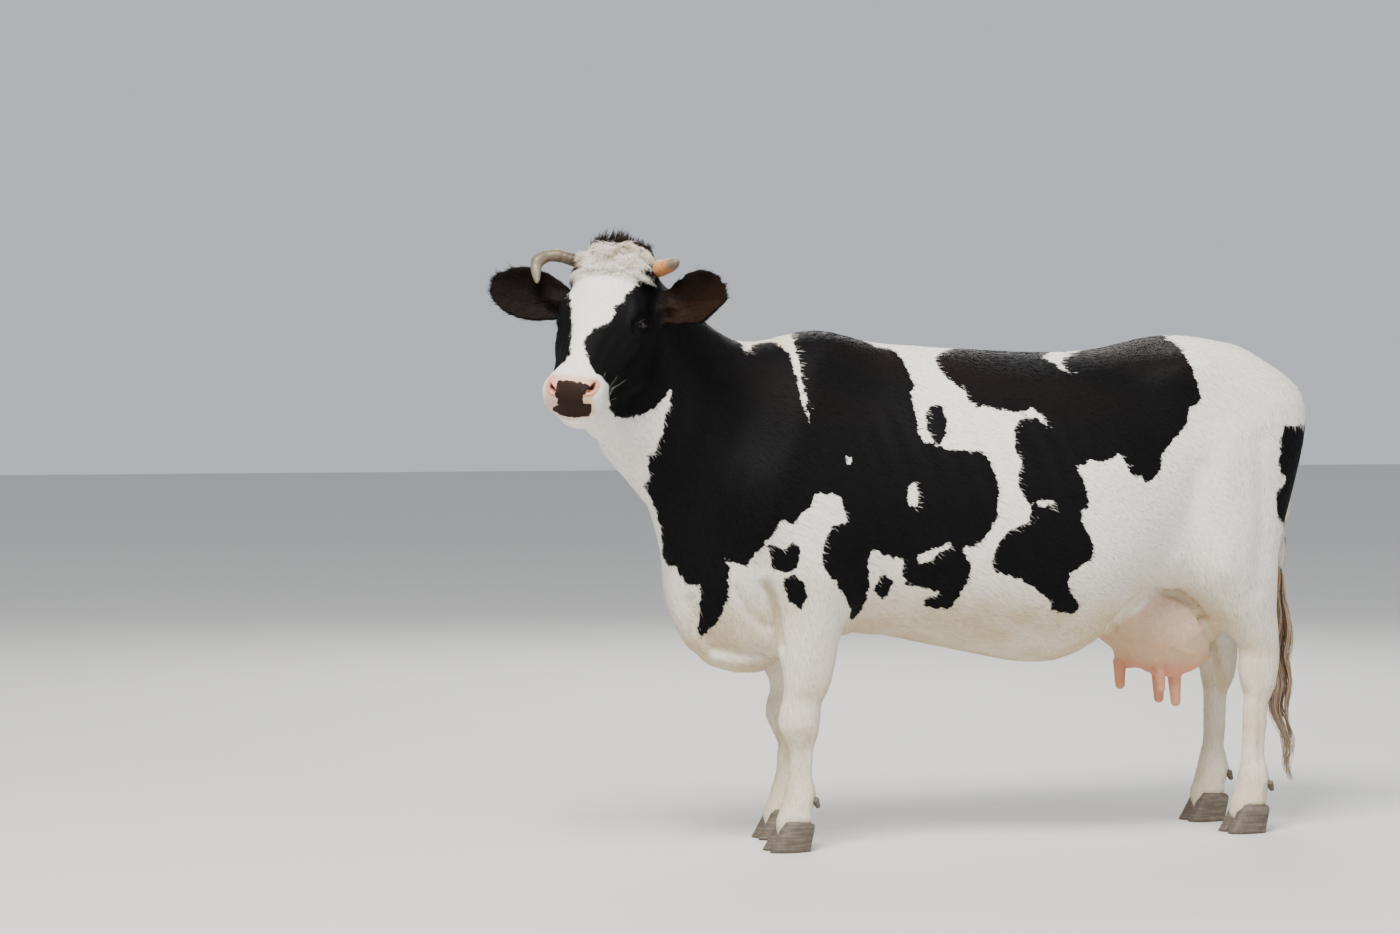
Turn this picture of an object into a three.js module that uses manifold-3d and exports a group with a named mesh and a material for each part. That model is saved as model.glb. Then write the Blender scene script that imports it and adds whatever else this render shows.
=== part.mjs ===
// A horned black-and-white dairy cow standing square, its head turned to its left.
// Millimetres, +Z up. The cow walks towards -X and its left side faces -Y.
//
// The flesh is one implicit body: ellipsoids, tapering limbs and two lofts, blended where they
// meet. It is negative inside and zero on the hide. The hide is traced on a grid, simplified,
// and parted with thin cuts into the named pieces. Horns, eyes and hooves are solids of their own.
import * as THREE from "three";
import Module from "manifold-3d";

const wasm = await Module();
wasm.setup();

// ---------------------------------------------------------------- driving dimensions
const GAP = 0.3; // between neighbouring pieces
const FLOOR_CENTRE = [-184, -24]; // middle of the cow's floor plan, which is the part's origin
const HEAD = {
  poll: [-1083, -152, 1611], // middle of the head's top, between the horns
  yaw: 54, // degrees the head is turned left of straight ahead
  pitch: 43, // degrees the face leans forward of upright
  roll: 3, // degrees the left ear is lowered
};
const EYE = { along: 202, aside: 102, out: -76, radius: 21 };
const SOCKET = { proud: 27, radii: [25, 17, 17] }; // a hollow outside each eyeball
const FORE_FOOT = { left: [-585, -133], right: [-528, 128] };
const HIND_FOOT = { left: [760, -152], right: [774, 128] };
const SOLE_CUT = 0; // the level of the floor

// ---------------------------------------------------------------- small maths
const rad = (degrees) => (degrees * Math.PI) / 180;
const mix = (a, b, t) => a + (b - a) * t;
const mixPoint = (a, b, t) => a.map((value, i) => mix(value, b[i], t));
const clamp01 = (t) => Math.min(1, Math.max(0, t));

// Smooth union and smooth intersection with a blend of width k.
function join(a, b, k) {
  const h = Math.max(k - Math.abs(a - b), 0) / k;
  return Math.min(a, b) - (h * h * k) / 4;
}
const overlap = (a, b, k) => -join(-a, -b, k);

// A table of stations read at any place along it, each column by a Catmull-Rom curve.
function profile(stations) {
  const at = stations.map((row) => row[0]);
  const columns = stations[0].length - 1;
  const read = (x) => {
    const last = at.length - 1;
    if (x <= at[0]) return stations[0].slice(1);
    if (x >= at[last]) return stations[last].slice(1);
    let i = 0;
    while (x > at[i + 1]) i++;
    const span = at[i + 1] - at[i];
    const t = (x - at[i]) / span;
    const values = new Array(columns);
    for (let c = 1; c <= columns; c++) {
      const slope = (j) => {
        const low = Math.max(j - 1, 0);
        const high = Math.min(j + 1, last);
        return (stations[high][c] - stations[low][c]) / (at[high] - at[low]);
      };
      const [p, q, m, n] = [stations[i][c], stations[i + 1][c], slope(i) * span, slope(i + 1) * span];
      const t2 = t * t;
      const t3 = t2 * t;
      values[c - 1] =
        (2 * t3 - 3 * t2 + 1) * p + (t3 - 2 * t2 + t) * m + (3 * t2 - 2 * t3) * q + (t3 - t2) * n;
    }
    return values;
  };
  const known = new Map();
  return (x) => {
    if (!known.has(x)) known.set(x, read(x));
    return known.get(x);
  };
}

// ---------------------------------------------------------------- implicit shapes
// Each is a function of x, y, z that gives about the distance to its surface. Most carry a ball
// that holds them, so a blend can leave out the ones too far off to matter.
const length = (x, y, z) => Math.sqrt(x * x + y * y + z * z);
const bounded = (shape, centre, radius) => Object.assign(shape, { centre, radius });

// An ellipsoid, leaning by `lean` degrees about Y where one is given.
function ball([cx, cy, cz], [rx, ry, rz], lean = 0) {
  const c = Math.cos(rad(lean));
  const s = Math.sin(rad(lean));
  const shape = (x, y, z) => {
    const px = (c * (x - cx) + s * (z - cz)) / rx;
    const py = (y - cy) / ry;
    const pz = (c * (z - cz) - s * (x - cx)) / rz;
    const k0 = length(px, py, pz);
    const k1 = length(px / rx, py / ry, pz / rz);
    return k1 < 1e-9 ? -Math.min(rx, ry, rz) : (k0 * (k0 - 1)) / k1;
  };
  return bounded(shape, [cx, cy, cz], Math.max(rx, ry, rz));
}

// A limb from a to b, its radius going from ra to rb, squashed across Y to `flat` of its width.
function limb(a, b, ra, rb, flat = 1) {
  const [ax, ay, az] = [a[0], a[1] / flat, a[2]];
  const [dx, dy, dz] = [b[0] - ax, b[1] / flat - ay, b[2] - az];
  const long = dx * dx + dy * dy + dz * dz;
  const scale = flat < 1 ? mix(flat, 1, 0.5) : 1;
  const shape = (x, y, z) => {
    const px = x - ax;
    const py = y / flat - ay;
    const pz = z - az;
    const t = clamp01((px * dx + py * dy + pz * dz) / long);
    return (length(px - t * dx, py - t * dy, pz - t * dz) - mix(ra, rb, t)) * scale;
  };
  const half = length(b[0] - a[0], b[1] - a[1], b[2] - a[2]) / 2;
  return bounded(shape, mixPoint(a, b, 0.5), half + Math.max(ra, rb) * Math.max(flat, 1));
}

// A loft along the first axis. A station is: place, top, bottom, half width, height of the widest
// level, and how square the section is above and below that level (2 is an ellipse).
function loft(stations, [from, to], rounding) {
  const section = profile(stations);
  return (x, y, z) => {
    const [top, bottom, half, waist, above, below] = section(Math.round(x));
    const power = z > waist ? above : below;
    const reach = z > waist ? top - waist : waist - bottom;
    const rho = (Math.abs(y / half) ** power + Math.abs((z - waist) / reach) ** power) ** (1 / power);
    const radius = length(0, y, z - waist);
    const side = rho < 1e-3 ? -Math.min(half, reach) : radius * (1 - 1 / rho);
    return overlap(side, Math.max(from - x, x - to), rounding);
  };
}

// Shapes blended in turn: [[shape, blend width], ...].
function blended(list) {
  return (x, y, z) => {
    let d = 1e3;
    for (const [shape, k] of list) {
      const c = shape.centre;
      if (c && length(x - c[0], y - c[1], z - c[2]) - shape.radius > d + k) continue;
      d = join(d, shape(x, y, z), k);
    }
    return d;
  };
}

// ---------------------------------------------------------------- the head's own frame
// along: from the poll down the face; aside: to the animal's left; out: away from the forehead.
const headMatrix = new THREE.Matrix4();
{
  const yaw = rad(HEAD.yaw);
  const pitch = rad(HEAD.pitch);
  const up = new THREE.Vector3(0, 0, 1);
  const ahead = new THREE.Vector3(-Math.cos(yaw), -Math.sin(yaw), 0);
  const left = new THREE.Vector3().crossVectors(up, ahead);
  const tip = (vector) => vector.applyAxisAngle(ahead, -rad(HEAD.roll));
  const along = ahead.clone().multiplyScalar(Math.sin(pitch)).addScaledVector(up, -Math.cos(pitch));
  const out = ahead.clone().multiplyScalar(Math.cos(pitch)).addScaledVector(up, Math.sin(pitch));
  headMatrix.makeBasis(tip(along), tip(left), tip(out)).setPosition(...HEAD.poll);
}
const intoHead = headMatrix.clone().invert().elements;

// A shape given in the head's frame, read in the cow's frame.
function inHead(shape) {
  const m = intoHead;
  return (x, y, z) =>
    shape(
      m[0] * x + m[4] * y + m[8] * z + m[12],
      m[1] * x + m[5] * y + m[9] * z + m[13],
      m[2] * x + m[6] * y + m[10] * z + m[14],
    );
}
const headPoint = (along, aside, out) => new THREE.Vector3(along, aside, out).applyMatrix4(headMatrix);

// ---------------------------------------------------------------- trunk and neck
// place, top, bottom, half width, widest level, squareness above, squareness below
const TRUNK = [
  [-860, 1130, 640, 110, 860, 2.0, 2.0],
  [-760, 1230, 560, 170, 880, 2.0, 2.0],
  [-640, 1345, 505, 205, 900, 1.8, 1.9],
  [-484, 1404, 545, 232, 920, 1.65, 2.0],
  [-327, 1384, 562, 285, 920, 1.75, 2.1],
  [-66, 1362, 512, 350, 890, 1.95, 2.2],
  [126, 1350, 476, 378, 870, 2.05, 2.2],
  [245, 1348, 488, 378, 870, 2.15, 2.2],
  [365, 1356, 560, 345, 890, 2.3, 2.2],
  [480, 1388, 640, 300, 960, 2.4, 2.1],
  [608, 1400, 690, 262, 1060, 2.3, 2.0],
  [720, 1384, 720, 238, 1090, 2.1, 2.0],
  [815, 1354, 780, 205, 1110, 1.9, 2.0],
  [912, 1286, 880, 150, 1110, 1.8, 2.0],
];
const TRUNK_ENDS = [-860, 932];

const both = (make) => [make(-1), make(1)]; // the animal's left side, then its right

const chest = [
  [ball([-790, 0, 790], [105, 150, 215], -8), 90], // brisket
  [ball([-660, 0, 574], [150, 92, 82], 4), 70], // pad of the breastbone
];
const shoulders = (side) => [
  [limb([-470, side * 95, 1320], [-655, side * 190, 1010], 72, 105, 0.75), 90], // blade
  [limb([-700, side * 185, 930], [-560, side * 190, 820], 100, 100, 0.8), 70], // upper arm
  [ball([-500, side * 196, 940], [140, 72, 175], -20), 80], // triceps
];
const rump = (side) => [
  [ball([548, side * 228, 1290], [88, 50, 62], 0), 90], // hook bone
  [ball([905, side * 118, 1222], [52, 42, 52], 0), 60], // pin bone
  [limb([730, side * 165, 1160], [640, side * 195, 880], 175, 140, 0.55), 90], // thigh
  [limb([862, side * 112, 1140], [806, side * 150, 800], 82, 66, 0.9), 80], // ham
];
const tailHead = [[limb([790, 0, 1338], [915, 0, 1278], 45, 40), 50]];
const neck = [
  [limb([-600, 0, 1090], [-830, -28, 1185], 262, 196, 0.66), 120],
  [limb([-830, -28, 1185], [-985, -112, 1395], 196, 142, 0.72), 90],
  [limb([-1000, -95, 1120], [-870, -8, 850], 62, 70, 0.55), 80], // dewlap
  [limb(headPoint(395, 0, -160).toArray(), [-1045, -128, 1120], 42, 62), 60], // throat
];

// ---------------------------------------------------------------- legs
// A foreleg from the elbow to the pastern, over a foot at [x, y].
function foreLeg(side, [fx, fy]) {
  const elbow = [-520, side * 185, 790];
  const aboveKnee = [fx + 40, mix(elbow[1], fy, 0.75), 470];
  return [
    [limb(elbow, aboveKnee, 104, 74, 0.76), 60], // forearm
    [ball([fx + 21, fy, 350], [66, 50, 76]), 40], // knee
    [limb([fx + 26, fy, 300], [fx + 26, fy, 175], 39, 36, 0.8), 26], // cannon
    [ball([fx + 25, fy, 145], [46, 46, 44]), 26], // fetlock
    [limb([fx + 22, fy, 135], [fx - 2, fy, 62], 40, 47, 1.12), 20], // pastern
  ];
}

// A hind leg from the stifle to the pastern, over a foot at [x, y].
function hindLeg(side, [fx, fy]) {
  const hock = [fx + 30, fy, 452];
  const stifle = [640, side * 212, 774];
  return [
    [limb(stifle, [hock[0] - 12, mix(stifle[1], fy, 0.8), 540], 116, 62, 0.68), 80], // gaskin
    [limb([hock[0] + 48, fy, 505], [805, side * 165, 720], 20, 50, 0.9), 50], // hamstring
    [ball(hock, [60, 45, 72], 18), 34],
    [limb([hock[0] + 50, fy, 496], [hock[0] + 22, fy, 420], 22, 30), 26], // point of the hock
    [limb([hock[0] - 3, fy, 405], [fx + 20, fy, 185], 41, 37, 0.8), 26], // cannon
    [ball([fx + 20, fy, 150], [49, 48, 46]), 26], // fetlock
    [limb([fx + 17, fy, 140], [fx - 4, fy, 62], 42, 48, 1.12), 20], // pastern
  ];
}

// ---------------------------------------------------------------- head
// In the head's frame; stations run down the face, "top" is the forehead side.
const FACE = [
  [-25, -18, -120, 80, -70, 2.2, 2.0],
  [35, 4, -170, 106, -72, 2.5, 2.0],
  [95, 10, -215, 108, -85, 2.7, 2.0],
  [172, 8, -252, 110, -105, 2.6, 2.0],
  [235, 4, -262, 108, -125, 2.3, 2.0],
  [290, 0, -235, 92, -115, 2.1, 2.1],
  [350, -3, -190, 76, -85, 2.1, 2.2],
  [407, -6, -158, 73, -68, 2.2, 2.3],
  [455, -10, -140, 77, -66, 2.3, 2.4],
  [500, -20, -124, 74, -66, 2.3, 2.3],
];
const FACE_ENDS = [-28, 498];
const face = [
  [loft(FACE, FACE_ENDS, 44), 1],
  [ball([6, 0, -48], [40, 94, 62]), 40], // poll
  [ball([-26, 14, -36], [28, 88, 34]), 24], // hair standing on the poll
  [ball([466, 0, -58], [46, 80, 58]), 34], // muzzle
  [ball([464, 0, -118], [52, 56, 32]), 24], // chin
];
const cheek = (side) => [
  [ball([184, side * 100, -60], [46, 26, 32]), 24], // brow
  [ball([240, side * 84, -84], [52, 28, 30]), 30], // below the eye
  [ball([212, side * 84, -185], [108, 44, 88]), 50], // jaw muscle
  [limb([300, side * 70, -100], [390, side * 62, -86], 28, 20), 30], // cheek line
  [limb([215, side * 62, -232], [432, side * 22, -136], 34, 26), 30], // jaw bone
  [ball([468, side * 51, -76], [36, 31, 46]), 22], // upper lip
];
const socket = (side) => ball([EYE.along, side * (EYE.aside + SOCKET.proud), EYE.out], SOCKET.radii);
const sockets = blended([
  [socket(1), 1],
  [socket(-1), 1],
]);
const fullFace = blended([...face, ...cheek(1), ...cheek(-1)]);
const headShape = bounded(
  inHead((x, y, z) => overlap(fullFace(x, y, z), -sockets(x, y, z), 12)),
  headPoint(240, 0, -100).toArray(),
  380,
);

// ---------------------------------------------------------------- the whole flesh
const flesh = blended([
  [loft(TRUNK, TRUNK_ENDS, 130), 1],
  ...chest,
  ...both(shoulders).flat(),
  ...both(rump).flat(),
  ...tailHead,
  ...neck,
  ...foreLeg(-1, FORE_FOOT.left),
  ...foreLeg(1, FORE_FOOT.right),
  ...hindLeg(-1, HIND_FOOT.left),
  ...hindLeg(1, HIND_FOOT.right),
  [headShape, 45],
]);

// ---------------------------------------------------------------- udder, tail, ears
const TEATS = [
  [520, -90, 485],
  [478, 84, 485],
  [580, -58, 446],
  [583, 52, 446],
];
const TEAT = { long: 84, top: 20, tip: 12 };
const udder = blended([
  [ball([570, -62, 585], [148, 112, 146]), 1],
  [ball([580, 62, 585], [148, 112, 146]), 40],
  [ball([450, -60, 622], [110, 95, 95]), 50],
  [ball([450, 60, 622], [110, 95, 95]), 50],
  ...TEATS.map(([x, y, z]) => [
    limb([x, y, z], [x + 4, y * 1.05, z - TEAT.long], TEAT.top, TEAT.tip),
    14,
  ]),
]);

const TAIL_PATH = [
  [925, 0, 1272, 32],
  [962, 0, 1238, 32],
  [982, 0, 1150, 27],
  [968, 0, 1000, 22],
  [950, 2, 850, 19],
  [942, 5, 720, 18],
];
const SWITCH_PATH = [
  [942, 5, 720, 20],
  [938, 5, 640, 29],
  [942, 8, 520, 33],
  [942, 8, 440, 27],
  [950, 8, 350, 20],
  [964, 8, 250, 13],
  [977, 8, 180, 7],
];
const chain = (path, blend) =>
  path.slice(1).map((b, i) => [limb(path[i].slice(0, 3), b.slice(0, 3), path[i][3], b[3]), blend]);
const tail = blended([...chain(TAIL_PATH, 12), ...chain(SWITCH_PATH, 12)]);

// An ear is a leaf-shaped scoop: a flattened egg with a hollow on its open side.
const EAR = {
  left: { root: [88, 96, -134], tip: [112, 332, -24], open: [0.55, -0.3, 0.78] },
  right: { root: [98, -94, -134], tip: [116, -330, -36], open: [0.55, 0.3, 0.78] },
};
const EAR_SIZE = { thick: 16, hollow: 14 };

// ---------------------------------------------------------------- tracing the hide
// Marching tetrahedra: each cell of the grid is six tetrahedra round its diagonal.
const CORNERS = [
  [0, 0, 0],
  [1, 0, 0],
  [1, 1, 0],
  [0, 1, 0],
  [0, 0, 1],
  [1, 0, 1],
  [1, 1, 1],
  [0, 1, 1],
];
const TETRAHEDRA = [
  [0, 5, 1, 6],
  [0, 1, 2, 6],
  [0, 2, 3, 6],
  [0, 3, 7, 6],
  [0, 7, 4, 6],
  [0, 4, 5, 6],
];

function traced(shape, low, high, cell) {
  const count = low.map((value, i) => Math.ceil((high[i] - value) / cell) + 4);
  const place = (i, axis) => low[axis] + (i - 1.5) * cell;
  const index = (i, j, k) => (k * count[1] + j) * count[0] + i;
  const field = new Float64Array(count[0] * count[1] * count[2]);
  for (let k = 0; k < count[2]; k++)
    for (let j = 0; j < count[1]; j++)
      for (let i = 0; i < count[0]; i++) {
        const [x, y, z] = [place(i, 0), place(j, 1), place(k, 2)];
        const box = Math.max(low[0] - x, x - high[0], low[1] - y, y - high[1], low[2] - z, z - high[2]);
        field[index(i, j, k)] = Math.max(shape(x, y, z), box) || 1e-9;
      }
  const points = [];
  const triangles = [];
  const seen = new Map();
  const where = (id) => [
    place(id % count[0], 0),
    place(Math.floor(id / count[0]) % count[1], 1),
    place(Math.floor(id / (count[0] * count[1])), 2),
  ];
  const crossing = (a, b) => {
    const key = a < b ? a * field.length + b : b * field.length + a;
    if (!seen.has(key)) {
      const t = Math.min(0.98, Math.max(0.02, field[a] / (field[a] - field[b])));
      seen.set(key, points.push(mixPoint(where(a), where(b), t)) - 1);
    }
    return seen.get(key);
  };
  const cellTriangles = (ids) => {
    for (const tetra of TETRAHEDRA) {
      const t = tetra.map((c) => ids[c]);
      const inside = [0, 1, 2, 3].filter((c) => field[t[c]] < 0);
      const outside = [0, 1, 2, 3].filter((c) => field[t[c]] >= 0);
      if (!inside.length || !outside.length) continue;
      const even = parity([...inside, ...outside]);
      const add = (a, b, c) => triangles.push(even ? [a, b, c] : [a, c, b]);
      const cross = (a, b) => crossing(t[a], t[b]);
      if (inside.length === 1) {
        const [a, b, c, d] = [...inside, ...outside];
        add(cross(a, b), cross(a, c), cross(a, d));
      } else if (inside.length === 3) {
        const [a, b, c, d] = [...inside, ...outside];
        add(cross(a, d), cross(b, d), cross(c, d));
      } else {
        const [a, b, c, d] = [...inside, ...outside];
        add(cross(a, c), cross(a, d), cross(b, d));
        add(cross(a, c), cross(b, d), cross(b, c));
      }
    }
  };
  for (let k = 0; k + 1 < count[2]; k++)
    for (let j = 0; j + 1 < count[1]; j++)
      for (let i = 0; i + 1 < count[0]; i++) {
        const ids = CORNERS.map(([x, y, z]) => index(i + x, j + y, k + z));
        const low0 = field[ids[0]] < 0;
        if (ids.some((id) => field[id] < 0 !== low0)) cellTriangles(ids);
      }
  return { points, triangles };
}

// Whether the corners a, b, c, d of a tetrahedron are an even shuffle of 0, 1, 2, 3.
function parity(order) {
  let swaps = 0;
  for (let i = 0; i < 4; i++) for (let j = i + 1; j < 4; j++) if (order[i] > order[j]) swaps++;
  return swaps % 2 === 0;
}

// ---------------------------------------------------------------- simplifying
// Collapses the edges that change the surface least until `target` triangles are left. `care` is
// how many times more an error counts at a place. Each pass tries every edge that is left.
const PASSES = 5;
function simplified({ points, triangles }, target, care = () => 1) {
  const P = points.map((p) => [...p]);
  const T = triangles.map((t) => [...t]);
  const Q = P.map(() => new Float64Array(10));
  const around = P.map(() => new Set());
  const stamp = new Int32Array(P.length);
  const alive = new Uint8Array(T.length).fill(1);
  const normalOf = (a, b, c) => {
    const [ux, uy, uz] = [b[0] - a[0], b[1] - a[1], b[2] - a[2]];
    const [vx, vy, vz] = [c[0] - a[0], c[1] - a[1], c[2] - a[2]];
    return [uy * vz - uz * vy, uz * vx - ux * vz, ux * vy - uy * vx];
  };
  T.forEach((t, f) => {
    const n = normalOf(...t.map((v) => P[v]));
    const long = Math.hypot(...n) || 1e-12;
    const [a, b, c] = n.map((value) => value / long);
    const [x, y, z] = P[t[0]];
    const d = -(a * x + b * y + c * z);
    const w = long * care(x, y, z);
    const plane = [a * a, a * b, a * c, a * d, b * b, b * c, b * d, c * c, c * d, d * d];
    for (const v of t) {
      around[v].add(f);
      plane.forEach((value, i) => (Q[v][i] += value * w));
    }
  });
  const errorAt = (q, [x, y, z]) =>
    q[0] * x * x + 2 * q[1] * x * y + 2 * q[2] * x * z + 2 * q[3] * x + q[4] * y * y +
    2 * q[5] * y * z + 2 * q[6] * y + q[7] * z * z + 2 * q[8] * z + q[9];
  const bestPlace = (q, a, b) => {
    const middle = mixPoint(a, b, 0.5);
    const soft = 1e-3 * (q[0] + q[4] + q[7]);
    const [A, B, C, D, E, F] = [q[0] + soft, q[1], q[2], q[4] + soft, q[5], q[7] + soft];
    const rhs = [-q[3] + soft * middle[0], -q[6] + soft * middle[1], -q[8] + soft * middle[2]];
    const c0 = D * F - E * E;
    const c1 = C * E - B * F;
    const c2 = B * E - C * D;
    const det = A * c0 + B * c1 + C * c2;
    if (Math.abs(det) < 1e-12) return middle;
    const c3 = A * F - C * C;
    const c4 = B * C - A * E;
    const c5 = A * D - B * B;
    return [
      (c0 * rhs[0] + c1 * rhs[1] + c2 * rhs[2]) / det,
      (c1 * rhs[0] + c3 * rhs[1] + c4 * rhs[2]) / det,
      (c2 * rhs[0] + c4 * rhs[1] + c5 * rhs[2]) / det,
    ];
  };
  const heap = [];
  const push = (item) => {
    let i = heap.push(item) - 1;
    while (i > 0) {
      const up = (i - 1) >> 1;
      if (heap[up].cost <= item.cost) break;
      heap[i] = heap[up];
      i = up;
    }
    heap[i] = item;
  };
  const pop = () => {
    const top = heap[0];
    const item = heap.pop();
    if (!heap.length) return top;
    let i = 0;
    for (;;) {
      let kid = 2 * i + 1;
      if (kid >= heap.length) break;
      if (kid + 1 < heap.length && heap[kid + 1].cost < heap[kid].cost) kid++;
      if (heap[kid].cost >= item.cost) break;
      heap[i] = heap[kid];
      i = kid;
    }
    heap[i] = item;
    return top;
  };
  const offer = (a, b) => {
    const q = Q[a].map((value, i) => value + Q[b][i]);
    const place = bestPlace(q, P[a], P[b]);
    const long = Math.hypot(...P[a].map((value, i) => value - P[b][i]));
    const cost = errorAt(q, place) + 2e-6 * long ** 4;
    push({ cost, a, b, place, q, sa: stamp[a], sb: stamp[b] });
  };
  const neighbours = (v) => {
    const near = new Set();
    for (const f of around[v]) for (const w of T[f]) if (w !== v) near.add(w);
    return near;
  };
  // How near a triangle is to even sides: its doubled area over its longest side squared.
  const evenness = (size, a, b, c) => {
    const side = (m, n) => (m[0] - n[0]) ** 2 + (m[1] - n[1]) ** 2 + (m[2] - n[2]) ** 2;
    return size / Math.max(side(a, b), side(b, c), side(c, a));
  };
  const turns = (v, other, place) => {
    for (const f of around[v]) {
      if (T[f].includes(other)) continue;
      const old = T[f].map((w) => P[w]);
      const now = T[f].map((w) => (w === v ? place : P[w]));
      const before = normalOf(...old);
      const after = normalOf(...now);
      const [was, is] = [length(...before), length(...after)];
      const same = before[0] * after[0] + before[1] * after[1] + before[2] * after[2];
      if (same < 0.25 * is * was && was > 1e-3) return true;
      if (evenness(is, ...now) < Math.min(0.04, evenness(was, ...old))) return true;
    }
    return false;
  };
  let left = T.length;
  for (let pass = 0; left > target && (heap.length || pass < PASSES); ) {
    if (!heap.length) {
      pass++;
      P.forEach((_, v) => neighbours(v).forEach((w) => v < w && offer(v, w)));
      if (!heap.length) break;
    }
    const { a, b, place, q, sa, sb } = pop();
    if (stamp[a] !== sa || stamp[b] !== sb) continue;
    const nearB = neighbours(b);
    let shared = 0;
    for (const v of neighbours(a)) if (nearB.has(v)) shared++;
    if (shared !== 2 || turns(a, b, place) || turns(b, a, place)) continue;
    P[a] = place;
    Q[a] = q;
    for (const f of around[b]) {
      if (T[f].includes(a)) {
        alive[f] = 0;
        left--;
        for (const v of T[f]) if (v !== b) around[v].delete(f);
      } else {
        T[f] = T[f].map((v) => (v === b ? a : v));
        around[a].add(f);
      }
    }
    around[b].clear();
    stamp[b] = -1;
    stamp[a]++;
    for (const v of neighbours(a)) offer(a, v);
  }
  const used = new Map();
  const kept = T.filter((_, f) => alive[f]).map((t) =>
    t.map((v) => {
      if (!used.has(v)) used.set(v, used.size);
      return used.get(v);
    }),
  );
  return { points: [...used.keys()].map((v) => P[v]), triangles: kept };
}

// ---------------------------------------------------------------- solids
function solid({ points, triangles }) {
  const mesh = new wasm.Mesh({
    numProp: 3,
    vertProperties: Float32Array.from(points.flat()),
    triVerts: Uint32Array.from(triangles.flat()),
  });
  mesh.merge();
  return new wasm.Manifold(mesh);
}

// The same mesh with every corner moved out along its normal.
function grown({ points, triangles }, by) {
  const normals = points.map(() => new THREE.Vector3());
  for (const t of triangles) {
    const [a, b, c] = t.map((v) => new THREE.Vector3(...points[v]));
    const n = b.clone().sub(a).cross(c.clone().sub(a)).normalize();
    [a, b, c].forEach((p, i) => {
      const to1 = [a, b, c][(i + 1) % 3].clone().sub(p);
      const to2 = [a, b, c][(i + 2) % 3].clone().sub(p);
      normals[t[i]].addScaledVector(n, to1.angleTo(to2));
    });
  }
  return {
    points: points.map((p, v) => {
      const n = normals[v].normalize();
      return [p[0] + n.x * by, p[1] + n.y * by, p[2] + n.z * by];
    }),
    triangles,
  };
}

// A three.js shape as a mesh of merged corners, after a transform.
function meshed(geometry, matrix = new THREE.Matrix4()) {
  const at = geometry.getAttribute("position");
  const order = geometry.index ? [...geometry.index.array] : [...Array(at.count).keys()];
  const found = new Map();
  const points = [];
  const corner = order.map((v) => {
    const p = new THREE.Vector3().fromBufferAttribute(at, v).applyMatrix4(matrix);
    const key = p.toArray().map((value) => Math.round(value * 1e3)).join();
    if (!found.has(key)) found.set(key, points.push(p.toArray()) - 1);
    return found.get(key);
  });
  const triangles = [];
  for (let i = 0; i < corner.length; i += 3) {
    const t = corner.slice(i, i + 3);
    if (new Set(t).size === 3) triangles.push(t);
  }
  return { points, triangles };
}

// A box from low to high.
function block(low, high, by = 0) {
  const size = high.map((value, i) => value - low[i] + 2 * by);
  const middle = high.map((value, i) => (value + low[i]) / 2);
  return solid(meshed(new THREE.BoxGeometry(...size), new THREE.Matrix4().setPosition(...middle)));
}

// Everything ahead of a plane, set back by `by`.
const REACH = 6000;
function ahead(point, normal, by = 0) {
  const n = new THREE.Vector3(...normal).normalize();
  const turn = new THREE.Quaternion().setFromUnitVectors(new THREE.Vector3(0, 0, 1), n);
  const centre = new THREE.Vector3(...point).addScaledVector(n, REACH / 2 - by);
  const matrix = new THREE.Matrix4().compose(centre, turn, new THREE.Vector3(1, 1, 1));
  return solid(meshed(new THREE.BoxGeometry(REACH, REACH, REACH), matrix));
}

// ---------------------------------------------------------------- parts beside the flesh
// The size of a cell each surface is first traced with, and the triangles it is then given.
const BODY_CELL = 17;
const HEAD_CELL = 10;
const TAIL_CELL = 9;
const UDDER_CELL = 13;
const SMALL_CELL = 5;
const TRIANGLES = { body: 3000, head: 1640, tail: 330, udder: 380, hoof: 180 };
const SHIN_CARE = 5; // how much closer the slender lower legs are kept
const BODY_BOX = [
  [-1320, -520, 40],
  [1040, 430, 1640],
];
const HEAD_BOX = [
  [-1420, -640, 1000],
  [-820, 180, 1660],
];
const TAIL_BOX = [
  [880, -60, 165],
  [1045, 60, 1380],
];
const UDDER_BOX = [
  [320, -185, 390],
  [750, 185, 740],
];

const shinCare = (x, y, z) => (z < 480 ? SHIN_CARE : 1);
const bodyMesh = simplified(traced(flesh, ...BODY_BOX, BODY_CELL), TRIANGLES.body, shinCare);
const headMesh = simplified(traced(flesh, ...HEAD_BOX, HEAD_CELL), TRIANGLES.head);
const tailMesh = simplified(traced(tail, ...TAIL_BOX, TAIL_CELL), TRIANGLES.tail);
const udderMesh = simplified(traced(udder, ...UDDER_BOX, UDDER_CELL), TRIANGLES.udder);

// An eyeball sits in the side of the head.
const eyeMesh = (side) =>
  meshed(
    new THREE.IcosahedronGeometry(EYE.radius, 2),
    new THREE.Matrix4().setPosition(headPoint(EYE.along, side * EYE.aside, EYE.out)),
  );

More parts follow.
